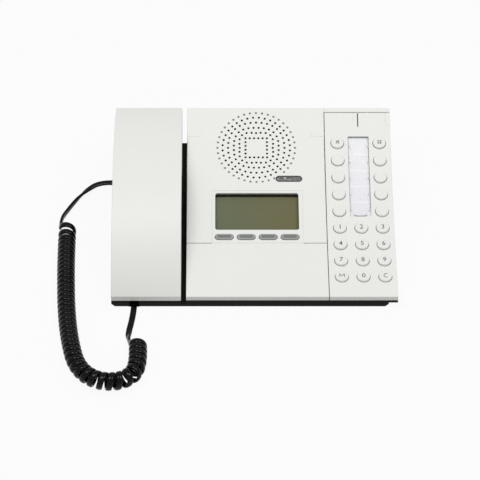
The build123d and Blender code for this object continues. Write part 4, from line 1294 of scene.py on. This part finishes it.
# %% Keypad cover: its sizes and the places of the keys
key_radius = 6.2
key_gap = 0.4
label_x = 103.3
label_width = 20.2
label_side = label_width / 2
label_low = 94.2
label_high = 183.2
label_corner = 0.4
label_recess = 1.7
label_floor_wall = 0.6
slot_width = 1.1
cover_rear = strip_along - seam / 2
line_end = cover_rear - edge_room
slot_line = [(label_x, strip_along - 15.5), (label_x, line_end)]
left_line = [(98.4, strip_along - 13.5), (98.4, line_end)]
right_line = [(133.4, 194.2), (131.8, 195.6), (130.8, 197.6), (130.4, 200.0), (130.4, line_end)]
key_names = [name for name in nodes if name.startswith("key_") and name + "_press" in joints]


def key_place(name):
    """Where a key stands, in millimetres across and up the panel."""
    point = joints[name + "_press"]["pos_m"]
    return point[0] / mm, along_panel(point)


print("round keys", len(key_names))

# %% Keypad cover
keypad = Moulding()
hole_width = 2 * (key_radius + key_gap)
keypad_holes = [slot_shape(*key_place(name), hole_width, hole_width, 8) for name in key_names]
label_left, label_right = label_x - label_side, label_x + label_side
label_floor = box_shape(
    label_left - floor_room, label_right + floor_room, label_low - floor_room, label_high + floor_room
)
keypad.sheet(label_floor, -label_recess, label_floor_wall)
keypad_holes.append(box_shape(label_left, label_right, label_low, label_high, label_corner, 3))
keypad_holes.append(line_shape(slot_line, slot_width))
keypad_holes.append(groove(keypad, left_line))
keypad_holes.append(groove(keypad, right_line))
keypad.plate(box_shape(keypad_left, keypad_right, 0, cover_rear), keypad_holes, skirt=cover_depth)
finished(keypad.bend("keypad_panel"), cover_white, "base", "white_cover", "keypad_cover")

# %% [markdown]
# A narrow white strip closes the panel behind the keypad cover. It is solid, with its outer rear
# corner cut off.

# %% Rear strip
rear = Moulding()
rear_front = strip_along + seam / 2
corner_cut = 2.0
rear_outline = closed_shape(
    [
        (keypad_left, rear_front),
        (keypad_right, rear_front),
        (keypad_right, panel_along - corner_cut),
        (keypad_right - corner_cut, panel_along),
        (keypad_left, panel_along),
    ]
)
rear.plate(rear_outline, wall=cover_depth)
finished(rear.bend("rear_trim"), cover_white, "base", "white_cover", "rear_strip")

# %% [markdown]
# A key is a round cap with a soft rim that stands 2 mm proud of the cover, on a square flange that
# stops it from falling out. The dark line round it is only the gap in the cover. The signs are
# printed, so they are a film of ink a few hundredths of a millimetre thick. Most start as a text
# object, because that gives clean outlines. The star, the hash and the M are drawn with bars. Each
# sign is then scaled and bent onto its own key.

# %% Signs drawn with bars
sign_names = {"key_star": "*", "key_hash": "#", "key_m": "M", "key_c": "C"}
sign_names.update({f"key_{digit}": str(digit) for digit in range(10)})
bar_width = 0.55
drawn_signs = {
    "*": [((-2.1, 0), (2.1, 0)), ((-1.5, -2.1), (1.5, 2.1)), ((-1.5, 2.1), (1.5, -2.1))],
    "#": [
        ((-2.3, 1.15), (2.3, 1.15)),
        ((-2.3, -1.15), (2.3, -1.15)),
        ((-1.15, -2.2), (-1.15, 2.2)),
        ((1.15, -2.2), (1.15, 2.2)),
    ],
    "M": [
        ((-2.2, -2.1), (-2.2, 2.1)),
        ((2.2, -2.1), (2.2, 2.1)),
        ((-2.1, 2.0), (0, -0.9)),
        ((0, -0.9), (2.1, 2.0)),
    ],
}


def bar_sign(bars):
    """A sign drawn with straight bars, in millimetres and 1 thick."""
    sign_builder = bmesh.new()
    for start, end in bars:
        start, end = Vector(start), Vector(end)
        run = (end - start).normalized()
        side = Vector((run.y, -run.x)) * bar_width / 2
        corners = [start + side, end + side, end - side, start - side]
        low = [sign_builder.verts.new((corner.x, corner.y, -0.5)) for corner in corners]
        high = [sign_builder.verts.new((corner.x, corner.y, 0.5)) for corner in corners]
        sign_builder.faces.new(high)
        sign_builder.faces.new(low[::-1])
        for i in range(4):
            sign_builder.faces.new((low[i], low[(i + 1) % 4], high[(i + 1) % 4], high[i]))
    return sign_builder


print("signs", len(sign_names), "of which drawn with bars", len(drawn_signs))

# %% Signs that start as a text object
sign_height = 4.9
sign_narrow = {"C": 0.84, "0": 1.05}
sign_boldness = 0.004
sign_curve_steps = 4


def text_sign(name, text):
    """A sign with its middle at the origin, its height 1 and 1 thick."""
    curve = bpy.data.curves.new(name, "FONT")
    curve.body = text
    curve.offset = sign_boldness
    curve.extrude = 0.5
    curve.resolution_u = sign_curve_steps
    holder = bpy.data.objects.new(name, curve)
    bpy.context.scene.collection.objects.link(holder)
    mesh = bpy.data.meshes.new_from_object(holder)
    bpy.data.objects.remove(holder)
    bpy.data.curves.remove(curve)
    sign_builder = bmesh.new()
    sign_builder.from_mesh(mesh)
    bpy.data.meshes.remove(mesh)
    xs = [vertex.co.x for vertex in sign_builder.verts]
    ys = [vertex.co.y for vertex in sign_builder.verts]
    middle_x, middle_y = (min(xs) + max(xs)) / 2, (min(ys) + max(ys)) / 2
    height = max(ys) - min(ys)
    for vertex in sign_builder.verts:
        vertex.co.x = (vertex.co.x - middle_x) / height
        vertex.co.y = (vertex.co.y - middle_y) / height
    return sign_builder


print("text signs are", sign_height, "mm high")

# %% Signs printed on their keys
key_proud = 2.0
sign_shift = (0.1, 0.25)
ink_proud = 0.02
ink_thick = 0.03
sign_weld = 1e-7


def printed_sign(name, text, x, along):
    """The sign bent onto the key's top, as a thin film of ink."""
    if text in drawn_signs:
        sign_builder = bar_sign(drawn_signs[text])
        size = (1, 1)
    else:
        sign_builder = text_sign(name, text)
        size = (sign_height * sign_narrow.get(text, 1), sign_height)
    for vertex in sign_builder.verts:
        flat = vertex.co
        across = x + sign_shift[0] + flat.x * size[0]
        up = along + sign_shift[1] + flat.y * size[1]
        vertex.co = on_panel(across, up, key_proud + ink_proud + flat.z * ink_thick)
    bmesh.ops.remove_doubles(sign_builder, verts=sign_builder.verts, dist=sign_weld)
    bmesh.ops.recalc_face_normals(sign_builder, faces=sign_builder.faces)
    return mesh_object(name, sign_builder, smooth=False)


print("ink stands", ink_proud + ink_thick / 2, "mm proud of its key")

# %% Round keys
key_rounding = 0.9
flange_side = 14.6
flange_depth = 2.8
flange_wall = 0.8
flange_rounding = 0.1
for name in key_names:
    x, along = key_place(name)
    cap = Moulding()
    cap_shape = slot_shape(x, along, 2 * key_radius, 2 * key_radius, 12)
    cap.plate(cap_shape, top=key_proud, wall=key_proud + flange_depth, rounding=key_rounding)
    flange_shape = middle_box(x, along, flange_side, flange_side)
    cap.plate(flange_shape, top=-flange_depth, wall=flange_wall, rounding=flange_rounding)
    finished(cap.bend(name + "_cap", bands=False), key_white, name, "white_key", name)
    if name in sign_names:
        sign = printed_sign(name + "_sign", sign_names[name], x, along)
        finished(sign, sign_grey, name, "grey_key")

# %% [markdown]
# The display's frame is a thin white plate with a window and four slots. A thin tongue all round
# closes the gap to the covers just below the surface, so that it doesn't show the phone's inside.

# %% Display frame
window_along = 99.75
window_height = 41.7
window_corner = 2.2
frame_corner = 0.5
frame_rounding = 0.12
display_x = (frame_left + frame_right) / 2
window_left = display_x - 40.5
window_right = display_x + 39.9
soft_key_along = 70.5
soft_key_pitch = 21.0
soft_key_aside = -0.45
soft_key_length = 17.4
soft_key_width = 6.1
soft_key_x = [display_x + soft_key_aside + (i - 1.5) * soft_key_pitch for i in range(4)]
window_low, window_high = window_along - window_height / 2, window_along + window_height / 2
bezel_holes = [box_shape(window_left, window_right, window_low, window_high, window_corner, 5)]
for x in soft_key_x:
    slot_length, slot_side = soft_key_length + 2 * key_gap, soft_key_width + 2 * key_gap
    bezel_holes.append(slot_shape(x, soft_key_along, slot_length, slot_side))
bezel = Moulding()
frame_shape = box_shape(frame_left, frame_right, cover_front, frame_top, frame_corner, 3)
bezel.plate(frame_shape, bezel_holes, rounding=frame_rounding)
print("display window", round(window_right - window_left, 1), "by", window_height, "mm")

# %% Tongue round the display frame
tongue = 0.7
tongue_inside = 0.5
tongue_depth = 0.4
tongue_wall = 0.5
outer_left, outer_right = frame_left - tongue, frame_right + tongue
outer_low, outer_high = cover_front - tongue, frame_top + tongue
inner_left, inner_right = frame_left + tongue_inside, frame_right - tongue_inside
for sides in (
    (outer_left, inner_left, outer_low, outer_high),
    (inner_right, outer_right, outer_low, outer_high),
    (inner_left, inner_right, frame_top - tongue_inside, outer_high),
    (inner_left, inner_right, outer_low, cover_front + tongue_inside),
):
    bezel.sheet(box_shape(*sides, crisp_edge, 1), -tongue_depth, tongue_wall)
finished(bezel.bend("display_bezel"), cover_white, "base", "white_cover", "display_frame")

# %% [markdown]
# The keys in the slots are a clear grey plastic: their sides and rims look darker than their tops,
# and a shallow trough along the middle catches a line of light. So each is a cap with a long hole,
# and below the hole lies an inlay with a low ridge, in the same grey painted darker as painted
# shade in the trough.

# %% Grey keys below the display
soft_key_proud = 1.0
soft_key_rounding = 1.1
trough_length = 13.2
trough_width = 3.0
trough_depth = 0.45
trough_rounding = 0.25
inlay_wall = 0.5
ridge_length = trough_length - 2.0
ridge_width = 0.9
ridge_depth = 0.1
ridge_wall = 0.6
ridge_rounding = 0.3
for number, x in enumerate(soft_key_x, start=1):
    name = f"soft_key_{number}"
    inlay = Moulding()
    inlay_length, inlay_width = trough_length + 2 * floor_room, trough_width + 2 * floor_room
    inlay_shape = slot_shape(x, soft_key_along, inlay_length, inlay_width)
    inlay.sheet(inlay_shape, soft_key_proud - trough_depth, inlay_wall)
    ridge_shape = slot_shape(x, soft_key_along, ridge_length, ridge_width)
    inlay.plate(ridge_shape, top=soft_key_proud - ridge_depth, wall=ridge_wall, rounding=ridge_rounding)
    finished(inlay.bend(name + "_inlay", bands=False), soft_key_inlay, name, "grey_key")
    grey_cap = Moulding()
    grey_cap.plate(
        slot_shape(x, soft_key_along, soft_key_length, soft_key_width),
        [slot_shape(x, soft_key_along, trough_length, trough_width)],
        top=soft_key_proud,
        wall=soft_key_proud + flange_depth,
        rounding=soft_key_rounding,
        hole_rounding=trough_rounding,
    )
    flange_length, flange_width = soft_key_length + 2 * key_gap, soft_key_width + 4 * key_gap
    flange_shape = middle_box(x, soft_key_along, flange_length, flange_width)
    grey_cap.plate(flange_shape, top=-flange_depth, wall=flange_wall, rounding=flange_rounding)
    finished(grey_cap.bend(name + "_cap", bands=False), soft_key_grey, name, "grey_key", name)

# %% [markdown]
# The indicator is one long lens with a dark edge and a milky middle. So it is made of two pieces: a
# dark ring, with a flange that holds it below the cover, and a pale bar with a slit in the ring.

# %% Indicator: the dark rim
lens_gap = 0.1
lens_top = -0.1
lens_wall = 2.7
lens_rim_width = 1.3
lens_flange_top = -2.8
lens_flange_wall = 1.0
lens_flange_reach = 1.5


def lens_slot(inset):
    """The slot of the indicator, made smaller all round."""
    length, width = indicator_length - 2 * inset, indicator_width - 2 * inset
    return slot_shape(indicator_x, indicator_along, length, width)


lens_rim = Moulding()
lens_hole = lens_slot(lens_rim_width)
lens_rim.plate(lens_slot(lens_gap), [lens_hole], top=lens_top, wall=lens_wall)
lens_rim.plate(
    lens_slot(-lens_flange_reach),
    [lens_hole],
    top=lens_flange_top,
    wall=lens_flange_wall,
    rounding=flange_rounding,
)
rim_piece = lens_rim.bend("indicator_rim", bands=False)
finished(rim_piece, lens_dark, "base", "indicator_lens", "indicator_window")

# %% Indicator: the milky bar
lens_bar_inset = 1.35
lens_bar_top = -0.35
lens_bar_wall = 2.0
lens_bar_rounding = 0.6
slit_length = indicator_length - 8.0
slit_width = 1.0
slit_floor_room = 0.3
slit_floor_top = -0.75
lens_bar = Moulding()
slit_floor_length, slit_floor_width = slit_length + 2 * slit_floor_room, slit_width + 2 * slit_floor_room
slit_floor = slot_shape(indicator_x, indicator_along, slit_floor_length, slit_floor_width)
lens_bar.sheet(slit_floor, slit_floor_top)
slit = slot_shape(indicator_x, indicator_along, slit_length, slit_width)
lens_bar.plate(
    lens_slot(lens_bar_inset), [slit], top=lens_bar_top, wall=lens_bar_wall, rounding=lens_bar_rounding
)
finished(lens_bar.bend("indicator_bar", bands=False), milky_lens, "base", "indicator_lens")

# %% [markdown]
# The label is a paper strip in a recess beside the upper keys, under a clear window with a thumb
# notch at its front end. The paper is ruled into five cells by thin pale lines, and the window's
# small side tabs catch the light at about the same spacing.

# %% Label strip
paper_top = -1.3
paper_room = 0.3
paper_corner = 0.5
paper_left, paper_right = label_left + paper_room, label_right - paper_room
paper_low, paper_high = label_low + paper_room, label_high - paper_room
paper_strip = Moulding()
paper_strip.sheet(box_shape(paper_left, paper_right, paper_low, paper_high, paper_corner, 3), paper_top)
finished(paper_strip.bend("label_paper"), label_paper, "base", "label_paper", "label_strip")

# %% Clear window over the label
clear_gap = 0.1
clear_left, clear_right = label_left + clear_gap, label_right - clear_gap
clear_low, clear_high = label_low + clear_gap, label_high - clear_gap
clear_top = -0.1
clear_wall = 1.1
clear_rounding = 0.25
notch_radius = 6.2
notch_centre = label_low - notch_radius / 2
notch_half_turn = math.acos(0.5)
notch_steps = 10
notch_corners = []
for step in range(notch_steps + 1):
    turn = notch_half_turn * (1 - 2 * step / notch_steps)
    across, up = notch_radius * math.sin(turn), notch_radius * math.cos(turn)
    notch_corners.append((label_x - across, max(notch_centre + up, clear_low)))
clear_outline = closed_shape(
    [
        (clear_left, clear_low),
        *notch_corners,
        (clear_right, clear_low),
        (clear_right, clear_high),
        (clear_left, clear_high),
    ],
    0.05,
    1,
)
clear_strip = Moulding()
clear_strip.plate(clear_outline, top=clear_top, wall=clear_wall, rounding=clear_rounding)
finished(clear_strip.bend("label_cover_strip"), label_cover, "base", "clear_lens", "label_window")

# %% [markdown]
# A clear strip's cut edge looks grey, and its small moulded tabs shine. In a real one the light
# does that. The clear strip here only lets light through and doesn't bend it. So thin grey strips
# just below its surface are painted shade along the edges, and small white pads are painted
# highlights on the tabs.

# %% Painted shade along the edges of the clear window
edge_top = -0.08
edge_wall = 0.5
edge_rounding = 0.04
rear_edge_low = label_high - 0.9
rear_edge_high = label_high - 0.15
rear_edge_rounding = 0.05
side_edge_low = clear_low + 6
side_edge_high = label_high - 1.0
left_edge = (clear_left + 0.12, 0.12)
right_edge = (clear_right - 0.18, 0.3)
scoop = [(-5.7, 1.9), (-5.3, 0.8), (-4.4, 0.45), (4.4, 0.45), (5.3, 0.8), (5.7, 1.9)]
scoop_width = 0.5
edge_shade_strips = Moulding()
rear_edge = box_shape(clear_left, clear_right, rear_edge_low, rear_edge_high, 0.1, 1)
edge_shade_strips.plate(rear_edge, top=edge_top, wall=edge_wall, rounding=rear_edge_rounding)
for edge_x, width in (left_edge, right_edge):
    side_edge = box_shape(edge_x - width / 2, edge_x + width / 2, side_edge_low, side_edge_high, 0.05, 1)
    edge_shade_strips.plate(side_edge, top=edge_top, wall=edge_wall, rounding=edge_rounding)
scoop_line = [(label_x + across, clear_low + up) for across, up in scoop]
scoop_shape = line_shape(scoop_line, scoop_width)
edge_shade_strips.plate(scoop_shape, top=edge_top, wall=edge_wall, rounding=edge_rounding)
finished(edge_shade_strips.bend("label_window_edge_shade"), window_edge_shade, "base", "clear_lens")

# %% Painted highlights on the side tabs of the clear window
tab_alongs = (101.5, 119.5, 137.4, 155.0, 172.9)
tab_places = (clear_left + 0.55, clear_right - 0.6)
tab_length = 1.0
tab_width = 2.4
tab_top = 0.1
tab_wall = 0.9
tab_rounding = 0.25
tab_glints = Moulding()
for along in tab_alongs:
    for tab_x in tab_places:
        tab_shape = slot_shape(tab_x, along, tab_length, tab_width, 3)
        tab_glints.plate(tab_shape, top=tab_top, wall=tab_wall, rounding=tab_rounding)
finished(tab_glints.bend("label_window_tab_glints", bands=False), window_glint, "base", "clear_lens")

# %% [markdown]
# The photograph was taken in a white tent: the light comes evenly from above, and the front faces
# that look at the camera are greyer. Two wide lamps overhead and a pale world do that. The floor
# is shown to the camera almost white, while it still takes the phone's soft shadow.

# %% Light
world_strength = 0.54
lamp_width = 0.9
lamp_power = 12.5
lamp_places = {"overhead_left": (-0.6, -0.1, 2.1), "overhead_right": (0.8, -0.1, 2.1)}
world = bpy.data.worlds.new("world")
bpy.context.scene.world = world
world.use_nodes = True
background = world.node_tree.nodes["Background"]
background.inputs["Color"].default_value = (1, 1, 1, 1)
background.inputs["Strength"].default_value = world_strength
for name, place in lamp_places.items():
    lamp_data = bpy.data.lights.new(name, "AREA")
    lamp_data.shape = "DISK"
    lamp_data.size = lamp_width
    lamp_data.energy = lamp_power
    lamp = bpy.data.objects.new(name, lamp_data)
    bpy.context.scene.collection.objects.link(lamp)
    lamp.location = place
    lamp.rotation_euler = (-Vector(place)).to_track_quat("-Z", "Y").to_euler()
print("lamps", len(lamp_places))

# %% Floor
floor_grey = 0.58
floor_seen = 0.93
floor_size = 6


def floor_finish():
    """Paper that the camera sees almost white, and that still takes a shadow."""
    finish = Finish("floor_white")
    grey = finish.add("ShaderNodeBsdfDiffuse", {}, {"Color": (floor_grey, floor_grey, floor_grey, 1)})
    white = finish.add("ShaderNodeEmission", {}, {"Color": (1, 1, 1, 1), "Strength": 1.0})
    rays = finish.add("ShaderNodeLightPath", {}, {}, "Is Camera Ray")
    glossy = Signal(finish, rays.socket.node.outputs["Is Glossy Ray"])
    through = Signal(finish, rays.socket.node.outputs["Is Transmission Ray"])
    seen = (rays + glossy + through) * floor_seen
    mixed = finish.add("ShaderNodeMixShader", {}, {0: seen, 1: grey, 2: white})
    finish.tree.links.new(mixed.socket, finish.out.inputs["Surface"])
    return finish


floor_builder = bmesh.new()
bmesh.ops.create_grid(floor_builder, x_segments=1, y_segments=1, size=floor_size)
floor = mesh_object("floor", floor_builder, smooth=False)
floor.data.materials.append(floor_finish().material)
print("floor reaches", floor_size, "m each way")

# %% [markdown]
# Last, the scene is brought up to date. A finish must not make the phone grow.

# %% Finish
bpy.context.view_layer.update()
